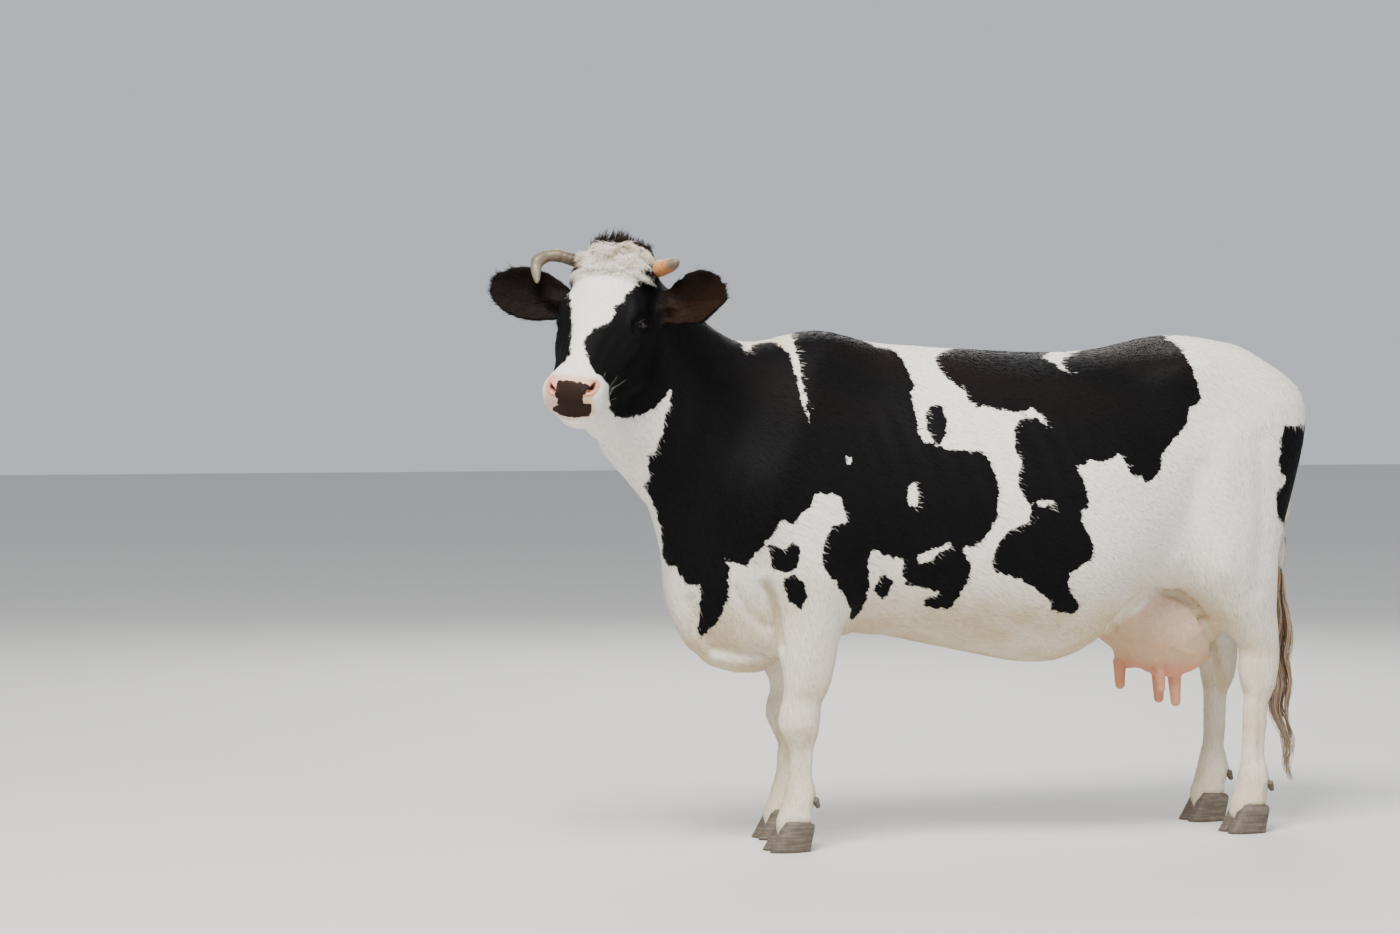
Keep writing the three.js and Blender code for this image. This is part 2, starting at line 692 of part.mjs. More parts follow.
// A horn is a tapering chain in the head's frame: along, aside (outwards), out, radius.
const HORN_PATHS = {
  left: [
    [22, 66, -56, 21],
    [22, 100, -52, 21],
    [24, 118, -46, 20],
    [30, 137, -34, 18],
    [40, 158, -16, 15],
    [50, 174, 2, 12],
    [58, 186, 18, 8],
  ],
  right: [
    [22, 66, -56, 18],
    [16, 98, -50, 17],
    [10, 130, -40, 16],
    [10, 165, -28, 16],
    [20, 196, -22, 15],
    [44, 212, -20, 14],
    [72, 209, -25, 11],
    [104, 198, -35, 7],
  ],
};
function hornMesh(name, side) {
  const path = HORN_PATHS[name].map(([along, aside, out, r]) => [along, side * aside, out, r]);
  const horn = inHead(blended(chain(path, 10)));
  const ends = path.map(([along, aside, out]) => headPoint(along, aside, out));
  const low = ["x", "y", "z"].map((axis) => Math.min(...ends.map((p) => p[axis])) - 45);
  const high = ["x", "y", "z"].map((axis) => Math.max(...ends.map((p) => p[axis])) + 45);
  return simplified(traced(horn, low, high, SMALL_CELL), 190);
}

// An ear in its own frame: u from the root to the tip, v across the blade, w towards the opening.
function earMesh(name) {
  const { root, tip, open } = EAR[name];
  const start = headPoint(...root);
  const end = headPoint(...tip);
  const long = start.distanceTo(end);
  const u = end.clone().sub(start).normalize();
  const w = headPoint(...open).sub(headPoint(0, 0, 0));
  w.addScaledVector(u, -w.dot(u)).normalize();
  const v = new THREE.Vector3().crossVectors(w, u);
  const width = profile([
    [0, 26],
    [0.15, 38],
    [0.35, 60],
    [0.55, 71],
    [0.75, 66],
    [0.9, 45],
    [1, 18],
  ]);
  const shape = (x, y, z) => {
    const p = [x - start.x, y - start.y, z - start.z];
    const pu = p[0] * u.x + p[1] * u.y + p[2] * u.z;
    const pv = p[0] * v.x + p[1] * v.y + p[2] * v.z;
    const pw = p[0] * w.x + p[1] * w.y + p[2] * w.z;
    const half = width(clamp01(pu / long))[0];
    const cup = EAR_SIZE.hollow * Math.sin(Math.PI * clamp01(pu / long)) ** 0.5;
    const middle = cup * 1.6 * ((pv / half) ** 2 - 0.6);
    const stem = limb([0, 0, 0], [0.3 * long, 0, 0], 30, 20)(pu, pv, pw);
    const thick = EAR_SIZE.thick * (1 - 0.45 * clamp01(pu / long));
    const blade = overlap(Math.abs(pw - middle) - thick / 2, Math.abs(pv) - half, 8);
    return join(overlap(blade, Math.max(-pu, pu - long), 10), stem, 12);
  };
  const low = start.clone().min(end).subScalar(75).toArray();
  const high = start.clone().max(end).addScalar(75).toArray();
  return simplified(traced(shape, low, high, SMALL_CELL), 320);
}

// A hoof: two claws side by side on flat soles, narrowing upwards to the pastern.
const HOOF = { long: 60, half: 27, spread: 28, top: 74, slope: 0.4, toe: -16 };
// How far a claw narrows, leans in and swells at its top, and how boat-shaped it is in plan.
const CLAW = { narrowing: 0.2, leaning: 0.12, swelling: 0.08, pointing: 1.15 };
const HAIRLINE = { tilt: 0.15, from: 60 }; // the claw's upper edge drops towards the heel
const HOOF_BOX = { front: 110, back: 90, side: 72, height: 110 };
const SOLE_EDGE = 7; // whatever is lower belongs to the flat sole

// A claw's mesh with its underside level with the floor.
const levelled = ({ points, triangles }) => ({
  points: points.map(([x, y, z]) => [x, y, z < SOLE_EDGE ? SOLE_CUT : z]),
  triangles,
});

function hoofMesh([fx, fy]) {
  const claw = (side) => (x, y, z) => {
    const rise = z / HOOF.top;
    const cx = fx + HOOF.toe + HOOF.slope * z;
    const dx = (x - cx) / (HOOF.long * (1 - CLAW.narrowing * rise));
    const cy = fy + side * HOOF.spread * (1 - CLAW.leaning * rise);
    const dy = (y - cy) / (HOOF.half * (1 + CLAW.swelling * rise));
    const rho = length(Math.abs(dx) ** CLAW.pointing, dy, 0);
    const top = z - HOOF.top + HAIRLINE.tilt * (x - cx - HAIRLINE.from);
    return overlap((rho - 1) * HOOF.half, top, 8);
  };
  const shape = blended([
    [claw(-1), 1],
    [claw(1), 5],
  ]);
  const low = [fx - HOOF_BOX.front, fy - HOOF_BOX.side, SOLE_CUT];
  const high = [fx + HOOF_BOX.back, fy + HOOF_BOX.side, HOOF_BOX.height];
  return levelled(simplified(traced(shape, low, high, SMALL_CELL + 1), TRIANGLES.hoof));
}

// ---------------------------------------------------------------- parting
const ears = { left: earMesh("left"), right: earMesh("right") };
const horns = { left: hornMesh("left", 1), right: hornMesh("right", -1) };
const feet = {
  fore_left: FORE_FOOT.left,
  fore_right: FORE_FOOT.right,
  hind_left: HIND_FOOT.left,
  hind_right: HIND_FOOT.right,
};
const hooves = Object.fromEntries(Object.entries(feet).map(([name, foot]) => [name, hoofMesh(foot)]));

// What is left of a solid beside a mesh, with the gap between them.
const beside = (from, mesh) => from.subtract(solid(grown(mesh, GAP))).subtract(solid(mesh));
const topMeshes = [...Object.values(horns), ...Object.values(ears), eyeMesh(-1), eyeMesh(1)];

const head = topMeshes.reduce(beside, solid(headMesh));
const body = [...Object.values(hooves), tailMesh, ...topMeshes].reduce(beside, solid(bodyMesh));

// The head ends at a plane behind the poll and the jaw, and at one under the jaw.
const headWay = (along, out) => headPoint(along, 0, out).sub(headPoint(0, 0, 0)).toArray();
const headRegion = (by = 0) =>
  ahead(headPoint(-30, 0, -50).toArray(), headWay(0.64, 0.77), by).intersect(
    ahead(headPoint(0, 0, -272).toArray(), headWay(0, 1), by),
  );
const NECK_CUT = { point: [-620, 0, 1370], normal: [-0.932, 0, 0.362] };
const FORE_CUT = [
  { low: [-760, 98, 0], high: [-380, 420, 760] },
  { low: [-760, 20, 0], high: [-380, 420, 478] },
];
const HIND_CUT = [{ low: [512, GAP, 0], high: [1000, 420, 930] }];
const SWITCH_TOP = 720;

const pieces = {};
pieces.head = head.intersect(headRegion());
let rest = body.subtract(headRegion(GAP));
pieces.neck = rest.intersect(ahead(NECK_CUT.point, NECK_CUT.normal));
rest = rest.subtract(ahead(NECK_CUT.point, NECK_CUT.normal, GAP));
const legBlock = (cut, side, by = 0) => {
  const blocks = cut.map(({ low, high }) => {
    const y = [side * low[1], side * high[1]].sort((a, b) => a - b);
    return block([low[0], y[0], low[2]], [high[0], y[1], high[2]], by);
  });
  return blocks.reduce((sum, next) => sum.add(next));
};
const LEGS = [
  ["foreleg_left", FORE_CUT, -1],
  ["foreleg_right", FORE_CUT, 1],
  ["hindleg_left", HIND_CUT, -1],
  ["hindleg_right", HIND_CUT, 1],
];
for (const [name, cut, side] of LEGS) pieces[name] = rest.intersect(legBlock(cut, side));
for (const [, cut, side] of LEGS) rest = rest.subtract(legBlock(cut, side, GAP));
pieces.trunk = rest;
pieces.udder = beside(solid(udderMesh), bodyMesh);
pieces.tail = solid(tailMesh).intersect(ahead([0, 0, SWITCH_TOP], [0, 0, 1]));
pieces.tail_switch = solid(tailMesh).subtract(ahead([0, 0, SWITCH_TOP], [0, 0, 1], GAP));
for (const side of ["left", "right"]) {
  pieces[`ear_${side}`] = solid(ears[side]);
  pieces[`horn_${side}`] = solid(horns[side]);
  pieces[`eye_${side}`] = solid(eyeMesh(side === "left" ? 1 : -1));
}
for (const name of Object.keys(feet)) pieces[`hoof_${name}`] = solid(hooves[name]);

// ---------------------------------------------------------------- the group
const FINISH = {
  coat: { color: 0xd9d0c0, roughness: 0.9 },
  skin: { color: 0xd8a693, roughness: 0.6 },
  horn: { color: 0x8b8368, roughness: 0.5 },
  hoof: { color: 0x6b5a45, roughness: 0.6 },
  eye: { color: 0x1b1411, roughness: 0.1 },
};
const finishOf = (name) => {
  if (name === "udder") return FINISH.skin;
  const word = name.split("_")[0];
  return FINISH[word] ?? FINISH.coat;
};

// A cut can leave a crumb of hide loose; only the largest connected part of a piece is kept.
function largest({ vertProperties, triVerts }) {
  const parent = [...Array(vertProperties.length / 3).keys()];
  const rootOf = (v) => {
    while (parent[v] !== v) v = parent[v] = parent[parent[v]];
    return v;
  };
  for (let i = 0; i < triVerts.length; i += 3)
    for (const j of [1, 2]) parent[rootOf(triVerts[i])] = rootOf(triVerts[i + j]);
  const sizes = new Map();
  for (const v of triVerts) sizes.set(rootOf(v), (sizes.get(rootOf(v)) ?? 0) + 1);
  const best = [...sizes].reduce((a, b) => (b[1] > a[1] ? b : a))[0];
  const used = new Map();
  const index = [...triVerts].filter((v) => rootOf(v) === best).map((v) => {
    if (!used.has(v)) used.set(v, used.size);
    return used.get(v);
  });
  const points = [...used.keys()].flatMap((v) => [...vertProperties.slice(3 * v, 3 * v + 3)]);
  return { points, index };
}

const group = new THREE.Group();
group.name = "cow";
for (const [name, piece] of Object.entries(pieces)) {
  const { points, index } = largest(piece.getMesh());
  const geometry = new THREE.BufferGeometry();
  const moved = Float32Array.from(points, (value, i) => value - (FLOOR_CENTRE[i % 3] ?? 0));
  geometry.setAttribute("position", new THREE.BufferAttribute(moved, 3));
  geometry.setIndex(index);
  geometry.computeVertexNormals();
  const mesh = new THREE.Mesh(geometry, new THREE.MeshStandardMaterial(finishOf(name)));
  mesh.name = name;
  group.add(mesh);
}

export default group;
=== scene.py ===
"""A life-size model of a horned black-pied dairy cow that stands and looks to its left.

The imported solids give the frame. One skin takes the place of every piece of flesh, a coat of
joined hair meshes lies over it, and the eyes, horns and hooves are pieces of their own.
"""

import logging
import math
from dataclasses import dataclass, field
from enum import Enum
from typing import Sequence

import bmesh
import bpy
import numpy as np
from mathutils import Matrix, Vector
from mathutils.bvhtree import BVHTree


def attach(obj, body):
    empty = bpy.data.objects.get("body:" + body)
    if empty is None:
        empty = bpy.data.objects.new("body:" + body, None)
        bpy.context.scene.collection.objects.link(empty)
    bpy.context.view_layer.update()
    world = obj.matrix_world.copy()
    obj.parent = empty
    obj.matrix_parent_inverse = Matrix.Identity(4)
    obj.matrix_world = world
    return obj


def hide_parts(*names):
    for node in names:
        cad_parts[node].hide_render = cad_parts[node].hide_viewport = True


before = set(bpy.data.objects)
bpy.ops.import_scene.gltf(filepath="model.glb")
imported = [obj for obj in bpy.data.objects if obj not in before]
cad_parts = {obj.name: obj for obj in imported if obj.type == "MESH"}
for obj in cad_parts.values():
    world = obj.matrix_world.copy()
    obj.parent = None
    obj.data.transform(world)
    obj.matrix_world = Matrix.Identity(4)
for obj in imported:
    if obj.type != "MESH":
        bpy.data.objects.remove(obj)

logging.basicConfig(level=logging.INFO, format="%(message)s")
log = logging.getLogger("cow")

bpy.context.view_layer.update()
SEED = 7
MM = 0.001
Array = np.ndarray
Mesh = bpy.types.Mesh
Material = bpy.types.Material
Socket = bpy.types.NodeSocket
Path = Sequence[Sequence[float]]


class Slot(Enum):
    """The names of four material slots."""

    COAT = "coat"
    HORN = "horn"
    HOOF = "hoof"
    EYE = "eye"


class Part(Enum):
    """The parts of flesh that the skin covers, by the solids' names."""

    HEAD = "head"
    NECK = "neck"
    TRUNK = "trunk"
    FORELEG_LEFT = "foreleg_left"
    FORELEG_RIGHT = "foreleg_right"
    HINDLEG_LEFT = "hindleg_left"
    HINDLEG_RIGHT = "hindleg_right"
    TAIL = "tail"
    EAR_LEFT = "ear_left"
    EAR_RIGHT = "ear_right"
    UDDER = "udder"
    HOOF = "hoof"
    EYE = "eye"


TITLES = [part.value for part in Part]
FLESH = [part.value for part in Part if part not in (Part.HOOF, Part.EYE)]
EARS = (Part.EAR_LEFT, Part.EAR_RIGHT)
FORELEGS = (Part.FORELEG_LEFT, Part.FORELEG_RIGHT)
HINDLEGS = (Part.HINDLEG_LEFT, Part.HINDLEG_RIGHT)
LEGS = FORELEGS + HINDLEGS
# The middle of each foot's sole, in metres.
FEET = {
    "fore_left": (-0.401, -0.109),
    "fore_right": (-0.344, 0.152),
    "hind_left": (0.944, -0.128),
    "hind_right": (0.958, 0.152),
}
LEFT, RIGHT = 1, -1  # the animal's sides, as signs of "aside" in the head's own frame
SIDES = (LEFT, RIGHT)
NEVER = -0.05  # a marking's depth where hair is always white, in metres
ALWAYS = 0.05  # a marking's depth where hair is always black
HORN_RINGS = 95.0  # how fast the rings of a horn follow each other, in radians over its length


# ---------- small helpers
def smooth_step(low: float, high: float, value: Array) -> Array:
    """A smooth ramp from 0 at low to 1 at high.

    Args:
        low: Where the ramp starts.
        high: Where it ends; it may lie below low.
        value: The values to ramp.

    Returns:
        The ramped values.
    """
    t = np.clip((value - low) / (high - low), 0.0, 1.0)
    return t * t * (3 - 2 * t)


def bell(value: Array, width: float) -> Array:
    """A bell curve of that width, 1 in its middle."""
    return np.exp(-((value / width) ** 2))


def unit(vectors: Array) -> Array:
    """Vectors brought to length one."""
    return vectors / np.maximum(np.linalg.norm(vectors, axis=-1, keepdims=True), 1e-9)


def sided(places: Path | Sequence[float], side: int) -> Array:
    """Places or directions in the head's own frame, mirrored for its right side."""
    return np.array(places, float) * np.array([1, side, 1])


def along_path(points: Array, path: Path) -> tuple[Array, Array]:
    """The distance of points from a line of straight runs, and how far along it they are.

    Args:
        points: One row per point.
        path: The corners of the line, in as many dimensions.

    Returns:
        The distances, and the nearest places along the path from 0 to 1.
    """
    corners = np.array(path, float)
    best = np.full(len(points), np.inf)
    place = np.zeros(len(points))
    runs = len(corners) - 1
    for i in range(runs):
        a, step = corners[i], corners[i + 1] - corners[i]
        t = np.clip((points - a) @ step / max(step @ step, 1e-12), 0, 1)
        away = np.linalg.norm(points - a - t[:, None] * step, axis=1)
        near = away < best
        best[near] = away[near]
        place[near] = (i + t[near]) / runs
    return best, place


def away_from(points: Array, path: Path) -> Array:
    """The distance of points from a line of straight runs."""
    return along_path(points, path)[0]


def from_nearest(points: Array, places: Path) -> Array:
    """The distance of points from the nearest of some places."""
    return np.min([np.linalg.norm(points - np.array(place), axis=1) for place in places], axis=0)


def inside_by(points: Array, outline: Path) -> Array:
    """How deep flat points lie inside a closed outline; outside it is negative.

    Args:
        points: Flat points, one row each.
        outline: The corners of the outline.

    Returns:
        The signed distances, in the outline's unit.
    """
    corners = np.array(outline, float)
    away = away_from(points, np.vstack([corners, corners[:1]]))
    x, y = points.T
    within = np.zeros(len(points), bool)
    for (ax, ay), (bx, by) in zip(corners, np.roll(corners, -1, axis=0)):
        if ay == by:
            continue
        crosses = (ay > y) != (by > y)
        within ^= crosses & (x < (bx - ax) * (y - ay) / (by - ay) + ax)
    return np.where(within, away, -away)


def inside_any(points: Array, outlines: Sequence[Path]) -> Array:
    """How deep flat points lie inside the nearest of some closed outlines."""
    return np.max([inside_by(points, outline) for outline in outlines], axis=0)


def take(items: bpy.types.bpy_prop_collection, key: str, width: int = 1, kind: type = np.float32) -> Array:
    """One property of every item of a collection, one row each."""
    values = np.empty(len(items) * width, kind)
    items.foreach_get(key, values)
    return values.reshape(-1, width) if width > 1 else values


def give(items: bpy.types.bpy_prop_collection, key: str, values: Array, kind: type = np.float32) -> None:
    """Sets one property of every item of a collection."""
    items.foreach_set(key, np.ascontiguousarray(values, kind).ravel())


def put(mesh: Mesh, name: str, values: Array) -> None:
    """Stores one number per vertex in a mesh under that name."""
    give(mesh.attributes.new(name, "FLOAT", "POINT").data, "value", values)


def written(build: bmesh.types.BMesh, mesh: Mesh | str) -> Mesh:
    """Writes a worked mesh into a mesh, or into a new one of that name, and frees it."""
    if isinstance(mesh, str):
        mesh = bpy.data.meshes.new(mesh)
    build.to_mesh(mesh)
    build.free()
    return mesh


def linked(name: str, data: bpy.types.ID) -> bpy.types.Object:
    """A new object in the scene."""
    thing = bpy.data.objects.new(name, data)
    bpy.context.scene.collection.objects.link(thing)
    return thing


def seen(name: str, mesh: Mesh, material: Material) -> bpy.types.Object:
    """Links a mesh as a shown piece that rides on the body.

    Args:
        name: The piece's name.
        mesh: Its mesh, in the frame's coordinates.
        material: Its finish.

    Returns:
        The new object.
    """
    piece = linked(name, mesh)
    mesh.materials.clear()
    mesh.materials.append(material)
    give(mesh.polygons, "use_smooth", np.ones(len(mesh.polygons)), bool)
    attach(piece, "root")
    mesh.calc_loop_triangles()
    log.info("%s: %d triangles", name, len(mesh.loop_triangles))
    return piece


def mesh_from(name: str, points: Array, triangles: Array) -> Mesh:
    """A mesh made of arrays of points and triangles."""
    mesh = bpy.data.meshes.new(name)
    mesh.vertices.add(len(points))
    mesh.loops.add(len(triangles) * 3)
    mesh.polygons.add(len(triangles))
    give(mesh.vertices, "co", points)
    give(mesh.loops, "vertex_index", triangles, np.int32)
    give(mesh.polygons, "loop_start", np.arange(0, len(triangles) * 3, 3), np.int32)
    mesh.update(calc_edges=True)
    return mesh


def spikes_mesh(name: str, points: Array, faces: Array) -> Mesh:
    """A mesh of many spikes with the same triangles.

    Args:
        name: Its name.
        points: The points, by spike and by place in the spike.
        faces: The triangles of one spike.

    Returns:
        The mesh.
    """
    count, per = points.shape[:2]
    triangles = faces[None] + (np.arange(count) * per)[:, None, None]
    return mesh_from(name, points.reshape(-1, 3), triangles.reshape(-1, 3))


def node_surface(name: str) -> tuple[Array, Array]:
    """A solid's points in the frame and its triangles."""
    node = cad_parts[name]
    turn = np.array(node.matrix_world)
    node.data.calc_loop_triangles()
    triangles = take(node.data.loop_triangles, "vertices", 3, np.int32)
    return points_of(node.data) @ turn[:3, :3].T + turn[:3, 3], triangles


def merged_copy(
    name: str,
    nodes: Sequence[str],
    fillers: Sequence[tuple[Array, float]] = (),
    swell: dict[str, tuple[float, float]] | None = None,
) -> bpy.types.Object:
    """Copies of solids and filling balls in one object, with their doubled points merged.

    Args:
        name: The new object's name.
        nodes: The solids' names.
        fillers: The centre and radius of each ball.
        swell: How far the named solids are thickened first, and below which height.

    Returns:
        The object.
    """
    same = 1e-5
    build = bmesh.new()
    for node in nodes:
        before = len(build.verts)
        build.from_mesh(mesh_from(name, *node_surface(node)))
        if swell and node in swell:
            build.verts.ensure_lookup_table()
            bmesh.ops.remove_doubles(build, verts=build.verts[before:], dist=same)
            build.verts.ensure_lookup_table()
            build.normal_update()
            thickness, top = swell[node]
            low = [v for v in build.verts[before:] if v.co.z < top]
            for vertex, way in [(v, v.normal.copy()) for v in low]:
                vertex.co += way * thickness
    bmesh.ops.remove_doubles(build, verts=build.verts, dist=same)
    for centre, radius in fillers:
        place = Matrix.Translation(Vector(centre))
        bmesh.ops.create_icosphere(build, subdivisions=3, radius=radius, matrix=place)
    return linked(name, written(build, name))


def remeshed(source: bpy.types.Object, cell: float) -> Mesh:
    """One closed surface round everything in an object, which is then removed.

    Args:
        source: The object to wrap.
        cell: The size of a face.

    Returns:
        The new mesh.
    """
    wrap = source.modifiers.new("wrap", "REMESH")
    wrap.mode = "VOXEL"
    wrap.voxel_size = cell
    graph = bpy.context.evaluated_depsgraph_get()
    mesh = bpy.data.meshes.new_from_object(source.evaluated_get(graph))
    bpy.data.objects.remove(source)
    return mesh


def only_outside(mesh: Mesh) -> None:
    """Keeps only the largest connected surface of a mesh."""
    web = Web(mesh)
    mark = np.arange(len(mesh.vertices))
    while True:
        low = mark.copy()
        np.minimum.at(low, web.here, mark[web.there])
        low = low[low]
        if (low == mark).all():
            break
        mark = low
    names, counts = np.unique(mark, return_counts=True)
    keep = names[counts.argmax()]
    build = bmesh.new()
    build.from_mesh(mesh)
    build.verts.ensure_lookup_table()
    gone = [build.verts[i] for i in np.flatnonzero(mark != keep)]
    bmesh.ops.delete(build, geom=gone, context="VERTS")
    written(build, mesh)


class Web:
    """The edges of a mesh, over which values are spread."""

    def __init__(self, mesh: Mesh) -> None:
        """Reads the edges of a mesh."""
        pairs = take(mesh.edges, "vertices", 2, np.int32)
        self.count = len(mesh.vertices)
        self.here = np.concatenate([pairs[:, 0], pairs[:, 1]])
        self.there = np.concatenate([pairs[:, 1], pairs[:, 0]])
        self.degree = np.maximum(np.bincount(self.here, minlength=self.count), 1)

    def mean(self, values: Array) -> Array:
        """The mean of each vertex's neighbours."""
        if values.ndim == 1:
            return np.bincount(self.here, values[self.there], self.count) / self.degree
        return np.stack([self.mean(values[:, i]) for i in range(values.shape[1])], axis=1)

    def spread(self, values: Array, rounds: int, amount: Array | float = 1.0) -> Array:
        """Values blurred over the surface.

        Args:
            values: One value or row per vertex.
            rounds: How often they are blurred.
            amount: How much of each round is taken, per vertex or for all.

        Returns:
            The blurred values.
        """
        if isinstance(amount, np.ndarray) and values.ndim == 2:
            amount = amount[:, None]
        for _ in range(rounds):
            values = values + (self.mean(values) - values) * amount
        return values


def points_of(mesh: Mesh) -> Array:
    """The points of a mesh, one row each."""
    return take(mesh.vertices, "co", 3).astype(float)


def normals_of(mesh: Mesh) -> Array:
    """The direction that each vertex of a mesh faces."""
    return take(mesh.vertices, "normal", 3).astype(float)


def place_points(mesh: Mesh, points: Array) -> None:
    """Moves the vertices of a mesh to these places."""
    give(mesh.vertices, "co", points)
    mesh.update()


def aimed(thing: bpy.types.Object, place: Sequence[float], way: Sequence[float]) -> bpy.types.Object:
    """Puts a camera or a lamp in its place and turns it that way."""
    thing.location = place
    thing.rotation_mode = "QUATERNION"
    thing.rotation_quaternion = Vector(way).to_track_quat("-Z", "Y")
    return thing


def split_faces(mesh: Mesh, chosen: Array) -> None:
    """Splits every edge between chosen vertices once.

    Args:
        mesh: The mesh that is refined.
        chosen: True for each vertex in the region.
    """
    build = bmesh.new()
    build.from_mesh(mesh)
    edges = [e for e in build.edges if chosen[e.verts[0].index] and chosen[e.verts[1].index]]
    bmesh.ops.subdivide_edges(build, edges=edges, cuts=1, use_grid_fill=True)
    written(build, mesh)


# ---------- the head's own frame
@dataclass(frozen=True)
class HeadFrame:
    """The axes of the head: along it to the muzzle, aside to its left, and out of the forehead.

    Attributes:
        poll: The middle of the poll, in metres.
        yaw: How far the head looks to the left of straight ahead, in degrees.
        pitch: How far the face leans forward of upright, in degrees.
        roll: How far it is rolled, in degrees.
    """

    poll: tuple[float, float, float] = (-0.899, -0.128, 1.611)
    yaw: float = 54.0
    pitch: float = 43.0
    roll: float = 3.0

    def axes(self) -> Array:
        """The three axes as columns."""
        yaw, pitch, roll = (math.radians(a) for a in (self.yaw, self.pitch, self.roll))
        ahead = Vector((-math.cos(yaw), -math.sin(yaw), 0))
        up = Vector((0, 0, 1))
        turn = Matrix.Rotation(-roll, 3, ahead)
        along = turn @ (ahead * math.sin(pitch) - up * math.cos(pitch))
        aside = turn @ up.cross(ahead)
        out = turn @ (ahead * math.cos(pitch) + up * math.sin(pitch))
        return np.array([along, aside, out]).T

    def inward(self, points: Array) -> Array:
        """Points of the frame in the head's own millimetres."""
        return (points - np.array(self.poll)) @ self.axes() / MM

    def outward(self, points: Array) -> Array:
        """Points in the head's own millimetres, placed in the frame."""
        return np.asarray(points, float) * MM @ self.axes().T + np.array(self.poll)

    def way(self, direction: Array) -> Array:
        """A direction in the head's own frame, turned into the frame."""
        return np.asarray(direction, float) @ self.axes().T


HEAD = HeadFrame()


# ---------- camera
@dataclass(frozen=True)
class Viewpoint:
    """The camera and the flat picture that it takes.

    Attributes:
        place: Where it stands, in metres.
        azimuth: Which way it looks, in degrees from +Y.
        pitch: How far it looks up, in degrees.
        focal: Its focal length in picture points.
        width: The picture's width in points.
        height: The picture's height in points.
    """

    place: tuple[float, float, float] = (-3.5094, -8.8776, 1.25)
    azimuth: float = -18.0
    pitch: float = -1.35
    focal: float = 3470.0
    width: int = 1400
    height: int = 934

    def axes(self) -> tuple[Array, Array, Array]:
        """The directions that it looks, has to its right, and has above it."""
        turn, pitch = math.radians(self.azimuth), math.radians(self.pitch)
        level = np.array([-math.sin(turn), math.cos(turn), 0])
        right = np.array([level[1], -level[0], 0])
        look = level * math.cos(pitch) + np.array([0, 0, math.sin(pitch)])
        return look, right, np.cross(right, look)

    def flat(self, points: Array) -> Array:
        """Where points show in the picture, in picture points from its upper left corner."""
        look, right, up = self.axes()
        way = points - np.array(self.place)
        depth = way @ look
        x = self.width / 2 + self.focal * (way @ right) / depth
        y = self.height / 2 - self.focal * (way @ up) / depth
        return np.stack([x, y], axis=1)

    def per_metre(self, points: Array) -> Array:
        """How many picture points a metre takes at each of these places."""
        return self.focal / ((points - np.array(self.place)) @ self.axes()[0])

    def set_up(self) -> None:
        """Makes the scene's camera."""
        data = bpy.data.cameras.new("camera")
        data.sensor_width = 36.0
        data.lens = self.focal * data.sensor_width / self.width
        data.clip_end = 200
        camera = aimed(linked("camera", data), self.place, self.axes()[0])
        bpy.context.scene.camera = camera


VIEW = Viewpoint()


